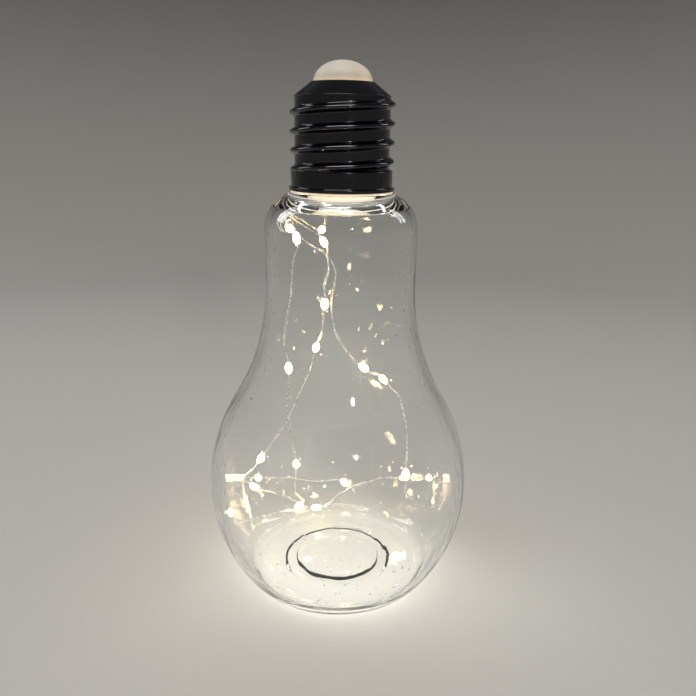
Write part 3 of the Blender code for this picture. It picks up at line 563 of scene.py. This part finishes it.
# %% Sizes of the bulb
belly_radius = 62.5 * MM
belly_height = 49.6 * MM
belly_top_arc = 81.5 * MM
belly_foot_arc = 75.0 * MM
waist_arc = 105.5 * MM
neck_radius = 34.2 * MM
shoulder_arc = 16.0 * MM
glass_height = 189.0 * MM
glass_wall = 3.0 * MM
mouth_radius = 21.0 * MM
mouth_rounding = 0.9 * MM
bore_depth = 6.8 * MM
bore_foot_rounding = 0.8 * MM
ledge_slope = 0.8 * MM
foot_corner_arc = 9.0 * MM
floor_corner_arc = 16.0 * MM
base_wall = 3.4 * MM
foot_ring_radius = 27.5 * MM
punt_crease_radius = 25.5 * MM
punt_step = 1.4 * MM
punt_crown = 0.2 * MM
lens_foot_radius = 21.5 * MM
lens_edge_radius = 20.5 * MM
lens_step = 1.4 * MM
lens_crown = 1.6 * MM


def bulb_wall(offset, bottom, corner, top, steps):
    """One side of the glass from the middle of its corner arc up to this top level, offset inwards."""
    foot_center = (belly_radius - belly_foot_arc, belly_height)
    foot_radius = belly_foot_arc - offset
    corner_z = bottom + corner
    corner_r = foot_center[0] + math.sqrt((foot_radius - corner) ** 2 - (belly_height - corner_z) ** 2)
    join_deg = math.degrees(math.atan2(corner_z - belly_height, corner_r - foot_center[0]))
    top_center = (belly_radius - belly_top_arc, belly_height)
    waist_r = neck_radius + waist_arc
    between = belly_top_arc + waist_arc
    waist_z = belly_height + math.sqrt(between**2 - (waist_r - top_center[0]) ** 2)
    turn_deg = math.degrees(math.atan2(waist_z - belly_height, waist_r - top_center[0]))
    shoulder_r = neck_radius - shoulder_arc
    full_rise = math.sqrt(shoulder_arc**2 - (mouth_radius + glass_wall - shoulder_r) ** 2)
    shoulder_z = glass_height - mouth_rounding - full_rise
    end_deg = math.degrees(math.asin((top - shoulder_z) / (shoulder_arc - offset)))
    points = arc((corner_r, corner_z), corner, -90, join_deg, steps[0])
    points += arc(foot_center, foot_radius, join_deg, 0, steps[1])[1:]
    points += arc(top_center, belly_top_arc - offset, 0, turn_deg, steps[2])[1:]
    points += arc((waist_r, waist_z), waist_arc + offset, 180 + turn_deg, 180, steps[3])[1:]
    neck_top, neck_low = shoulder_z, waist_z
    straight = 10
    for i in range(1, straight):
        points.append((neck_radius - offset, neck_low + (neck_top - neck_low) * i / straight))
    points += arc((shoulder_r, shoulder_z), shoulder_arc - offset, 0, end_deg, steps[4])
    return points


def raised_middle(level, foot, edge, step, crown, steps):
    """A low rounded step up from this level, then a gentle crown, from the outside in to the axis."""
    points = []
    for i in range(steps[0] + 1):
        share = i / steps[0]
        points.append((foot + (edge - foot) * share, level + step * share * share * (3 - 2 * share)))
    for i in range(1, steps[1] + 1):
        r = edge * (1 - i / steps[1])
        points.append((r, level + step + crown * (1 - (r / edge) ** 2)))
    return points


# %% The glass bulb
bore_foot = glass_height - bore_depth
outside = bulb_wall(0.0, 0.0, foot_corner_arc, glass_height - mouth_rounding, (8, 26, 26, 22, 16))
inside = bulb_wall(glass_wall, base_wall, floor_corner_arc, bore_foot - ledge_slope, (10, 22, 22, 18, 14))
ledge_end, bore_top = inside.pop(), (mouth_radius, bore_foot + 2 * bore_foot_rounding)
inside += rounded([inside[-1], ledge_end, (mouth_radius, bore_foot), bore_top], bore_foot_rounding)[1:]
lip = arc((mouth_radius + mouth_rounding, glass_height - mouth_rounding), mouth_rounding, 180, 90, 5)
lip += arc((mouth_radius + glass_wall - mouth_rounding, glass_height - mouth_rounding), mouth_rounding,
           90, 40, 4)
lens_pad = raised_middle(base_wall, lens_foot_radius, lens_edge_radius, lens_step, lens_crown, (12, 12))
punt = raised_middle(0.0, foot_ring_radius, punt_crease_radius, punt_step, punt_crown, (12, 10))
outline = lens_pad[::-1] + inside + lip + outside[::-1][1:] + punt
glass = lathe("clear_glass_bulb", outline, 144)
smooth(glass, 30)
print(mesh_facts(glass), "box", [round(v / MM, 1) for v in glass.dimensions])

# %% [markdown]
# The glass: its finish
# Blown glass is never quite even: slow waves run round it, fine marks run along it where it was drawn, and
# small seeds of air lie in it. They are far too shallow to be worth points, so they are a bump. Rays
# towards lamps pass straight through, since a path tracer gives clear glass a shadow that is too dark.

# %% Waves, marks and seeds
clear = Finish("clear_glass")
slow_wave = clear.cloudy(26 * MM, detail=1.0, stretch=(1.0, 1.0, 0.35))
draw_marks = clear.cloudy(6 * MM, detail=1.5, stretch=(1.0, 1.0, 0.3))
seed_grid = {"Vector": clear.place(), "Scale": 1 / (4.2 * MM)}
seed_distance = clear.put("ShaderNodeTexVoronoi", {"feature": "F1"}, seed_grid)
seeds = clear.range(seed_distance, 0.03, 0.14, 1.0, 0.0)
uneven = slow_wave * 0.4 + draw_marks * 0.18 + seeds * 0.16
clear.set(Base_Color=clear.blend(clear.cloudy(40 * MM), (0.995, 1.0, 0.995), (0.985, 0.995, 0.985)),
          Roughness=clear.range(clear.cloudy(9 * MM), 0.35, 0.75, 0.0, 0.012),
          IOR=1.5, Transmission_Weight=1.0, Normal=clear.bump(uneven, 0.5 * MM))
clear.lets_lamps_through((0.98, 0.985, 0.98))
dress(glass, clear)

# %% [markdown]
# The cap
# The shell is one thin plated tube: a plain band with a rim lip that sits on the glass, then a rounded
# thread of a coarse pitch, a shoulder, and a cone up to the opening for the button. The tube is turned
# first, and each point of the threaded stretch is then moved out by a wave that climbs as it goes round,
# which is how a rolled thread differs from plain rings. The wave rises out of the band, and its last turn
# runs up under the cone, which trims it.

# %% Sizes of the cap
rim_level = 189.8 * MM
cap_height = 44.6 * MM
crest_radius = 22.8 * MM
thread_pitch = 7.8 * MM
thread_depth = 2.1 * MM
thread_start = 28.2 * MM
thread_width_share = 0.5
crest_roundness = 1.5
fade = thread_pitch * 0.35
band_radius = 22.2 * MM
band_height = 8.6 * MM
band_slope = 0.7 * MM
lip_radius = 23.2 * MM
lip_height = 1.5 * MM
lip_slope = 0.2 * MM
cone_foot_radius = 20.8 * MM
cone_foot_height = 39.0 * MM
opening_radius = 12.8 * MM
land_radius = 13.6 * MM
top_wall = 1.4 * MM
bore_radius = 19.4 * MM
bore_height = 35.6 * MM
groove_radius = 19.8 * MM
groove_low = 5.1 * MM
groove_high = 6.7 * MM
roof_radius = 19.12 * MM
roof_foot = 37.32 * MM
pocket_radius = 14.1 * MM
roof_height = 41.52 * MM
pocket_height = 43.2 * MM
thread_low = band_height + band_slope
thread_top = cone_foot_height - 0.3 * MM
thread_rows = 160
shell_sides = 168
cap_top = rim_level + cap_height
valley_radius = crest_radius - thread_depth


# %% The threaded shell
def thread_share(height):
    """How much of the thread's depth stands at this height above the cap's rim, from 0 to 1."""
    share = min(1.0, max(0.0, (height - band_height + fade) / fade))
    return share * share * (3 - 2 * share)


def cone_radius(height):
    """The cone's radius, carried on down below its foot, where it trims the thread's last turn."""
    slope = (cone_foot_radius - land_radius) / (cap_height - cone_foot_height)
    return cone_foot_radius + (cone_foot_height - height) * slope


def thread_form(phase):
    """The thread's section over one turn: a rounded crest at phase 0, and a plain valley between crests."""
    away = abs((phase + math.pi) % math.tau - math.pi) / (math.pi * thread_width_share)
    return max(0.0, 1.0 - away**2) ** crest_roundness


top_edge = [(opening_radius, cap_height - top_wall), (opening_radius, cap_height), (land_radius, cap_height)]
cone = [(cone_foot_radius, cone_foot_height), (valley_radius, thread_top)]
rows = [(valley_radius, thread_top + (thread_low - thread_top) * i / thread_rows)
        for i in range(1, thread_rows)]
band = [(valley_radius, thread_low), (band_radius, band_height), (band_radius, lip_height + lip_slope),
        (lip_radius, lip_height), (lip_radius, 0.0), (bore_radius, 0.0)]
groove = [(bore_radius, groove_low), (groove_radius, groove_low), (groove_radius, groove_high),
          (bore_radius, groove_high), (bore_radius, bore_height)]
roof = [(roof_radius, roof_foot), (pocket_radius, roof_height), (pocket_radius, pocket_height)]
outline = rounded(top_edge + cone, 0.5 * MM) + rows + rounded(band + groove + roof, 0.25 * MM)
shell = lathe("cap_plated_shell", [(r, rim_level + z) for r, z in outline], shell_sides, to_axis=False)
for vertex in shell.data.vertices:
    height = vertex.co.z - rim_level
    r = math.hypot(vertex.co.x, vertex.co.y)
    if r < (bore_radius + valley_radius) / 2 or not band_height - fade < height < cone_foot_height:
        continue
    angle = math.atan2(vertex.co.y, vertex.co.x)
    phase = math.tau * (height - thread_start) / thread_pitch - angle
    crest = valley_radius + thread_share(height) * thread_depth * thread_form(phase)
    grown = max(r, min(crest, cone_radius(height))) / r
    vertex.co.x *= grown
    vertex.co.y *= grown
smooth(shell, 40)
print(mesh_facts(shell))

# %% [markdown]
# The cap: its finish
# Black nickel is a dark, glossy metal plating. Its colour drifts a little, and hands have rubbed it in
# patches, so its roughness follows a fine noise. A shallow bump makes the long highlights waver.

# %% The plating
nickel = Finish("black_nickel")
rubbed = nickel.cloudy(3.5 * MM, detail=6.0, roughness=0.65)
nickel.set(Base_Color=nickel.blend(nickel.cloudy(11 * MM), (0.062, 0.062, 0.068), (0.044, 0.044, 0.048)),
           Metallic=1.0, Roughness=nickel.range(rubbed, 0.4, 0.8, 0.10, 0.22),
           Normal=nickel.bump(nickel.cloudy(5 * MM, detail=2.0), 0.05 * MM, 0.25))
dress(shell, nickel)

# %% [markdown]
# The push button
# A thin milky dome with a flange below, which keeps it under the edge of the opening, and a post that
# reaches down to the switch. Light from the board fills it faintly, most at its foot, and that glow is
# painted in as emission.

# %% The dome
dome_radius = 12.5 * MM
dome_rise = 8.5 * MM
spring_line = cap_top + 0.2 * MM
post_radius = 1.8 * MM
post_bottom = 238.1 * MM
dome_wall = 1.3 * MM
flange_radius = 13.8 * MM
flange_top = 232.7 * MM
flange_bottom = 231.7 * MM


def oval(radius, rise, from_deg, to_deg, steps):
    """Part of an upright half oval over the spring line."""
    return [(r, spring_line + (z - spring_line) * rise / radius)
            for r, z in arc((0.0, spring_line), radius, from_deg, to_deg, steps)]


inner_radius = dome_radius - dome_wall
post_deg = math.degrees(math.acos(post_radius / inner_radius))
outline = [(0.0, post_bottom), (post_radius, post_bottom)]
outline += oval(inner_radius, dome_rise - dome_wall, post_deg, 0, 22)
outline += rounded([(inner_radius, flange_bottom), (flange_radius, flange_bottom),
                    (flange_radius, flange_top), (dome_radius, flange_top)], 0.25 * MM)
outline += oval(dome_radius, dome_rise, 0, 90, 30)
outline[-1] = (0.0, spring_line + dome_rise)
dome = lathe("button_dome", outline, 96)
smooth(dome, 40)
print(mesh_facts(dome))

# %% [markdown]
# The push button: its finish
# Milky plastic takes light in and scatters it, which is what subsurface does. The small light on the
# board fills the dome's foot, so a painted glow is added as emission, by a number that fades with height.

# %% Milk and glow
painted_glow_top = cap_top + 2.2 * MM
milk = two_tone("button_milk", 4 * MM, (0.74, 0.69, 0.59), (0.68, 0.63, 0.53), 1.2 * MM, (0.42, 0.58),
                Subsurface_Weight=0.35, Subsurface_Scale=0.004, Subsurface_Radius=(1.0, 0.8, 0.6))
# Painted glow: warm emission at the dome's foot stands in for light from the board shining through it.
painted_foot_glow = milk.range(milk.axis("Z"), cap_top, painted_glow_top, 1.0, 0.0)
milk.set(Emission_Color=milk.blend(painted_foot_glow, (0.10, 0.06, 0.03), (1.0, 0.66, 0.32)),
         Emission_Strength=0.35,
         Normal=milk.bump(milk.cloudy(0.5 * MM, detail=4.0), 0.02 * MM, 0.5))
dress(dome, milk)

# %% [markdown]
# The seal
# A soft milky sleeve round the collar of the case, with two rounded ribs that grip the mouth of the
# bulb and a thin washer on top that lies between the glass and the cap's lip. It is the pale band that
# shows through the glass just below the rim. Its faint warm glow is painted in as emission, standing in
# for light from the lights close below it.

# %% The seal
seal_inner = 18.4 * MM
seal_body = 19.9 * MM
pressed_in = 0.03 * MM
seal_outer = mouth_radius + pressed_in
seal_low = 183.7 * MM
seal_high = 189.15 * MM
washer_radius = 22.6 * MM
washer_top = 189.65 * MM
rib_reach = 1.05 * MM
rib_share = 0.26
rib_steps = 8
rib_bluntness = 0.2
seal_length = seal_high - seal_low
outline = rounded([(seal_inner, seal_low), (seal_inner, washer_top), (washer_radius, washer_top),
                   (washer_radius, seal_high), (seal_body, seal_high)], 0.2 * MM)
for level in (seal_high - seal_length * rib_share, seal_low + seal_length * rib_share):
    for i in range(rib_steps + 1):
        share = i / rib_steps
        lift = (seal_outer - seal_body) * math.sin(math.pi * share) ** rib_bluntness
        outline.append((seal_body + lift, level + rib_reach * (1 - 2 * share)))
outline.append((seal_body, seal_low))
seal = lathe("mouth_seal", outline, 96, to_axis=False)
smooth(seal, 50)
silicone = two_tone("seal_silicone", 6 * MM, (0.82, 0.82, 0.77), (0.76, 0.76, 0.71), 1.5 * MM, (0.45, 0.62),
                    Subsurface_Weight=0.3, Subsurface_Scale=0.003, Subsurface_Radius=(1.0, 0.85, 0.7))
# Painted glow: the emission stands in for light from the lights below shining through the seal.
silicone.set(Emission_Color=silicone.blend(silicone.cloudy(12 * MM), (1.0, 0.84, 0.58), (0.9, 0.70, 0.42)),
             Emission_Strength=0.55,
             Normal=silicone.bump(silicone.cloudy(0.6 * MM), 0.02 * MM, 0.4))
dress(seal, silicone)
print(mesh_facts(seal))

# %% [markdown]
# The grommet
# A small soft bush where the wire leaves the case, with a flange below the plug and a rounded mouth.

# %% The grommet
hole_radius = 0.625 * MM
bush_radius = 1.0 * MM
bush_flange = 1.6 * MM
bush_low = 181.0 * MM
bush_step = 181.8 * MM
bush_high = 184.2 * MM
bush_seam = 182.9 * MM
grommet = lathe("string_grommet", rounded([
    (hole_radius, bush_seam), (hole_radius, bush_low), (bush_flange, bush_low), (bush_flange, bush_step),
    (bush_radius, bush_step), (bush_radius, bush_high), (hole_radius, bush_high),
    (hole_radius, bush_seam + 0.05 * MM),
], 0.22 * MM), 40, to_axis=False)
grommet.location = (wire_exit.x, wire_exit.y, 0.0)
settle(grommet)
smooth(grommet, 50)
rubber = two_tone("grommet_rubber", 1.0 * MM, (0.52, 0.52, 0.49), (0.44, 0.44, 0.42), 0.5 * MM, (0.5, 0.7))
dress(grommet, rubber)
print(mesh_facts(grommet))

# %% [markdown]
# The battery case
# A moulded plug: a flange and a collar for the seal below, a thicker body that snaps into the cap, and a
# seat for the board on top. A round recess in its foot takes the door, with a groove and three notches
# for the door's lugs. It is turned like the cap and then drilled, and each hole is a plain form that a
# Boolean modifier takes away, as a core pin does in the mould.

# %% Drilling a piece


def pin(x, y, radius, bottom, top):
    """An upright cylinder that cuts a round hole."""
    deselect()
    bpy.ops.mesh.primitive_cylinder_add(vertices=48, radius=radius, depth=top - bottom,
                                        location=(x, y, (bottom + top) / 2))
    return bpy.context.object


def block(size, center, turn_deg=0.0, end_radius=0.0):
    """A box of this size, turned about the axis of the cap, with its upright edges rounded if asked."""
    deselect()
    bpy.ops.mesh.primitive_cube_add(size=1.0)
    obj = bpy.context.object
    obj.scale = size
    bpy.ops.object.transform_apply(location=False, rotation=False, scale=True)
    if end_radius:
        bpy.ops.object.mode_set(mode="EDIT")
        bpy.ops.mesh.select_mode(type="EDGE")
        bpy.ops.mesh.select_all(action="DESELECT")
        bpy.ops.object.mode_set(mode="OBJECT")
        for edge in obj.data.edges:
            low_end, high_end = (obj.data.vertices[i].co for i in edge.vertices)
            edge.select = abs(low_end.z - high_end.z) > size[2] / 2
        bpy.ops.object.mode_set(mode="EDIT")
        bpy.ops.mesh.bevel(offset=end_radius, segments=6)
        bpy.ops.mesh.select_mode(type="VERT")
        bpy.ops.object.mode_set(mode="OBJECT")
    obj.location = Matrix.Rotation(math.radians(turn_deg), 3, "Z") @ Vector(center)
    obj.rotation_euler.z = math.radians(turn_deg)
    return settle(obj)


sliver = 0.002 * MM


def boolean(obj, others, operation="DIFFERENCE"):
    """Takes the others away from the piece, or joins them to it, and clears the slivers left behind."""
    for other in others:
        modifier = obj.modifiers.new("boolean", "BOOLEAN")
        modifier.object = other
        modifier.operation = operation
        modifier.solver = "EXACT"
        apply_all(obj)
        only(other)
        bpy.ops.object.delete()
    only(obj)
    bpy.ops.object.mode_set(mode="EDIT")
    bpy.ops.mesh.select_all(action="SELECT")
    bpy.ops.mesh.remove_doubles(threshold=sliver)
    bpy.ops.mesh.dissolve_degenerate(threshold=sliver)
    bpy.ops.object.mode_set(mode="OBJECT")
    return obj


# %% Sizes of the case
plug_bottom = 182.0 * MM
recess_radius = 13.5 * MM
lug_room = 14.7 * MM
lip_top = 182.9 * MM
recess_top = 184.2 * MM
contact_seat = 184.95 * MM
contact_recess = 11.5 * MM
plug_radius = 19.6 * MM
collar_radius = 18.2 * MM
collar_low = 183.4 * MM
case_step = 190.1 * MM
case_radius = 19.1 * MM
snap_radius = 19.5 * MM
snap_low = 195.2 * MM
snap_peak = 195.8 * MM
snap_high = 196.2 * MM
case_shoulder = 225.1 * MM
case_top = 230.6 * MM
case_top_radius = 14.1 * MM
seat_radius = 10.8 * MM
board_seat = 232.8 * MM
lug_count = 3

# %% The turned case
case = lathe("cell_case", rounded([
    (0.0, contact_seat), (contact_recess, contact_seat), (contact_recess, recess_top),
    (lug_room, recess_top), (lug_room, lip_top), (recess_radius, lip_top), (recess_radius, plug_bottom),
    (plug_radius, plug_bottom), (plug_radius, collar_low), (collar_radius, collar_low),
    (collar_radius, case_step), (case_radius, case_step), (case_radius, snap_low), (snap_radius, snap_peak),
    (case_radius, snap_high), (case_radius, case_shoulder), (case_top_radius, case_top),
    (seat_radius, case_top), (seat_radius, board_seat), (0.0, board_seat),
], 0.25 * MM, 3), 96)

# %% Its holes
bay_offset = 5.9 * MM
bay_radius = 5.5 * MM
bay_top = 229.65 * MM
pocket_low = 229.0 * MM
pocket_high = 231.9 * MM
spring_pocket_radius = 3.8 * MM
pin_hole_radius = 0.8 * MM
riser_low = 231.0 * MM
screw_offset = 8.6 * MM
screw_hole_radius = 0.9 * MM
screw_hole_low = 227.9 * MM
notch_size = (2.6 * MM, 7.2 * MM, 2.2 * MM)
notch_center = (13.6 * MM, 0.0, 182.1 * MM)
notch_deg = 15
channel_radius = 1.2 * MM
channel_deg = -113.3
riser_offset = 8.8 * MM
slot_reach = 7.2 * MM
slot_width = 2.2 * MM
slot_height = 3.2 * MM
slot_level = 229.8 * MM
above_seat = board_seat + 1.3 * MM

holes = []
for side in (-1, 1):
    holes.append(pin(side * bay_offset, 0.0, bay_radius, recess_top, bay_top))
    holes.append(pin(side * bay_offset, 0.0, spring_pocket_radius, pocket_low, pocket_high))
    holes.append(pin(side * bay_offset, 0.0, pin_hole_radius, riser_low, above_seat))
    holes.append(pin(0.0, side * screw_offset, screw_hole_radius, screw_hole_low, above_seat))
for i in range(lug_count):
    holes.append(block(notch_size, notch_center, notch_deg + 360 / lug_count * i))
channel_run = wire_exit.xy.length
holes.append(pin(wire_exit.x, wire_exit.y, channel_radius, plug_bottom - MM, case_top + MM))
holes.append(block((channel_run - slot_reach, slot_width, slot_height),
                   ((channel_run + riser_offset) / 2, 0.0, slot_level), channel_deg))
riser = Matrix.Rotation(math.radians(channel_deg), 3, "Z") @ Vector((riser_offset, 0.0, 0.0))
holes.append(pin(riser.x, riser.y, channel_radius, riser_low, above_seat))
boolean(case, holes)
smooth(case, 35)
print(mesh_facts(case))

# %% [markdown]
# The battery door
# A round door with three lugs that turn into the groove of the case, a coin slot across its face and a
# rivet inside that holds the contact plate. The slot is a long block with rounded ends.

# %% The door
door_radius = 13.2 * MM
door_low = 182.2 * MM
door_high = 183.9 * MM
rivet_radius = 1.1 * MM
rivet_high = 184.6 * MM
lug_size = (2.4 * MM, 5.9 * MM, 0.7 * MM)
lug_center = (13.2 * MM, 0.0, 183.55 * MM)
lug_deg = 90
slot_size = (11.0 * MM, 1.8 * MM, 1.6 * MM)
slot_end_radius = 0.85 * MM
door = lathe("cell_door", rounded([
    (0.0, door_low), (door_radius, door_low), (door_radius, door_high), (rivet_radius, door_high),
    (rivet_radius, rivet_high), (0.0, rivet_high),
], 0.3 * MM), 96)
lugs = [block(lug_size, lug_center, lug_deg + 360 / lug_count * i) for i in range(lug_count)]
boolean(door, lugs, "UNION")
coin_slot = block(slot_size, (0.0, 0.0, door_low), 0.0, slot_end_radius)
boolean(door, [coin_slot])
smooth(door, 35)
print(mesh_facts(door))

# %% [markdown]
# Finishes of the pieces inside the cap
# The cells, contacts and board keep the shapes of the solids. Each gets its own finish: moulded milky
# plastic, a sleeve with a plain band, plated sheet and wire, green laminate, black resin. The enamel of
# the string is made here too, because the lead up to the board is of the same wire.

# %% Plastic, metal, laminate and enamel
plastic = two_tone("case_plastic", 7 * MM, (0.85, 0.83, 0.75), (0.79, 0.77, 0.69), 1.0 * MM, (0.36, 0.52),
                   Subsurface_Weight=0.3, Subsurface_Scale=0.004, Subsurface_Radius=(1.0, 0.85, 0.7))
plastic.set(Normal=plastic.bump(plastic.cloudy(0.45 * MM, detail=4.0), 0.015 * MM, 0.5))
steel = Finish("contact_steel")
steel.set(Base_Color=steel.blend(steel.cloudy(2 * MM), (0.64, 0.62, 0.58), (0.56, 0.54, 0.50)), Metallic=1.0,
          Roughness=steel.range(steel.cloudy(0.8 * MM, stretch=(1, 1, 6)), 0.3, 0.7, 0.2, 0.4))
zinc = two_tone("screw_steel", 1 * MM, (0.52, 0.52, 0.54), (0.42, 0.42, 0.44), 0.5 * MM, (0.28, 0.45),
                Metallic=1.0)
laminate = two_tone("board_laminate", 1.5 * MM, (0.05, 0.22, 0.10), (0.03, 0.16, 0.07), 0.6 * MM, (0.3, 0.5),
                    Coat_Weight=0.3)
chip_resin = two_tone("chip_resin", 0.7 * MM, (0.03, 0.03, 0.03), (0.05, 0.05, 0.05), 0.3 * MM, (0.45, 0.6))
ceramic = two_tone("capacitor_ceramic", 0.5 * MM, (0.52, 0.42, 0.28), (0.44, 0.35, 0.22), 0.3 * MM,
                   (0.45, 0.6))
switch_black = two_tone("switch_plastic", 1 * MM, (0.045, 0.045, 0.045), (0.065, 0.065, 0.065), 0.5 * MM,
                        (0.4, 0.55))
sleeve = Finish("cell_wrap")
cell_band_foot = 212.0 * MM
band_share = sleeve.range(sleeve.axis("Z"), cell_band_foot, cell_band_foot + 0.4 * MM, 0.0, 1.0)
sleeve.set(Base_Color=sleeve.blend(band_share, (0.10, 0.11, 0.13), (0.45, 0.33, 0.14)),
           Roughness=sleeve.range(sleeve.cloudy(3 * MM), 0.3, 0.7, 0.28, 0.4))
dome_light = Finish("dome_light")
dim_glow = dome_light.blend(dome_light.cloudy(0.4 * MM), (1.0, 0.62, 0.30), (1.0, 0.75, 0.42))
dome_light.set(Base_Color=(0.9, 0.85, 0.6), Roughness=0.5, Emission_Color=dim_glow, Emission_Strength=10.0)
enamel = two_tone("wire_enamel", 3 * MM, (0.97, 0.95, 0.91), (0.90, 0.87, 0.80), 1.0 * MM, (0.2, 0.34),
                  Metallic=0.7)
dress(wire, enamel)
dress(case, plastic)
dress(door, plastic)

# %% Nodes that keep their shapes
carried_over = {
    plastic: ["switch_plunger"],
    steel: ["contact_plate_1", "contact_plate_2", "contact_spring_1", "contact_spring_2", "door_contact"],
    zinc: ["board_screw_1", "board_screw_2"],
    laminate: ["circuit_board"],
    chip_resin: ["control_chip", "series_resistor"],
    ceramic: ["smoothing_capacitor"],
    switch_black: ["switch_body"],
    sleeve: ["battery_cell_1", "battery_cell_2"],
    enamel: ["board_lead"],
    dome_light: ["dome_led"],
}
for finish, nodes in carried_over.items():
    for node in nodes:
        dress(bpy.data.objects[node], finish)
print(sum(len(nodes) for nodes in carried_over.values()), "nodes keep their shapes and get these finishes")

# %% [markdown]
# What each piece stands for and what it moves with
# The glass and its string of lights stay on the table. The cap lifts off with its case, the dome presses
# in, and the door turns. The wire is joined to no body and stays where it lies.

# %% Joining the pieces to the frame
pieces = [
    (glass, "glass", "glass_bulb", "clear_glass"),
    (shell, "cap", "cap_shell", "black_nickel"),
    (seal, "cap", "neck_seal", "seal_silicone"),
    (grommet, "cap", "wire_grommet", "grommet_rubber"),
    (dome, "button", "dome_button", "button_plastic"),
    (case, "cap", "battery_case", "milky_plastic"),
    (door, "door", "battery_door", "milky_plastic"),
]
for piece, body, node, slot in pieces:
    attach(piece, body)
    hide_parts(node)
for number, bead in enumerate(beads, 1):
    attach(bead, "glass")
    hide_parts(f"led_bead_{number:02d}")
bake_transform(wire)
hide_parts("light_wire")
print(len(pieces) + len(beads) + 1, "pieces joined")

# %% [markdown]
# The studio
# A pale bowl holds the lamp: a flat floor that curves up into a low wall all round, so there is no
# horizon from any side. The floor lies a hair below the foot, as two surfaces in one place would fight.
# Higher up it is painted darker, a painted shade as if little light reached the wall there, which gives
# the glass its edges and the plated cap its dark body. Three soft lamps hang there, and a small one in
# front puts the glints on the thread.

# %% Floor and wall
floor_radius = 0.75
wall_radius = 1.35
wall_height = 1.0
floor_gap = 0.05 * MM
corner = wall_radius - floor_radius
sweep = arc((floor_radius, corner - floor_gap), corner, -90, 0, 24)
bowl = lathe("studio_bowl", [(0.0, -floor_gap)] + sweep + [(wall_radius, wall_height)], 96)
smooth(bowl, 60)
paper = Finish("studio_paper")
# Painted shade: the wall's colour darkens with height, as if less light reached it up there.
painted_shade_share = paper.range(paper.axis("Z"), 0.03, 0.75, 0.0, 1.0)
paper.set(Base_Color=paper.blend(painted_shade_share, (0.60, 0.575, 0.53), (0.17, 0.175, 0.185)), Roughness=0.85)
dress(bowl, paper)
print("the flat floor is", 2 * floor_radius, "m across")

# %% The lamps
world = bpy.data.worlds.new("studio")
bpy.context.scene.world = world
world.use_nodes = True
world.node_tree.nodes["Background"].inputs["Color"].default_value = (0.5, 0.52, 0.55, 1.0)
world.node_tree.nodes["Background"].inputs["Strength"].default_value = 0.25


def lamp(name, place, aim, size, power, color, spread_deg=180):
    """A soft lamp of this width and height that points at aim, and shines no wider than the spread."""
    light = bpy.data.lights.new(name, "AREA")
    light.shape = "RECTANGLE"
    light.size, light.size_y = size
    light.energy = power
    light.color = color
    light.spread = math.radians(spread_deg)
    obj = bpy.data.objects.new(name, light)
    obj.location = place
    obj.rotation_euler = (Vector(aim) - Vector(place)).to_track_quat("-Z", "Y").to_euler()
    obj.visible_camera = False
    bpy.context.scene.collection.objects.link(obj)
    return obj


middle = (0.0, 0.0, 0.12)
lamp("left_strip", (-1.05, 0.40, 0.80), middle, (0.24, 0.8), 1.3, (0.90, 0.94, 1.0), 110)
lamp("right_strip", (1.05, 0.44, 0.78), middle, (0.14, 0.7), 0.8, (0.97, 0.98, 1.0), 110)
lamp("overhead", (-0.1, -0.25, 1.45), middle, (0.9, 0.35), 8.4, (1.0, 0.99, 0.97))
lamp("spot", (0.26, -0.85, 0.50), middle, (0.04, 0.04), 1.3, (1.0, 1.0, 1.0))
bpy.context.scene.view_settings.view_transform = "Standard"
print("four lamps")
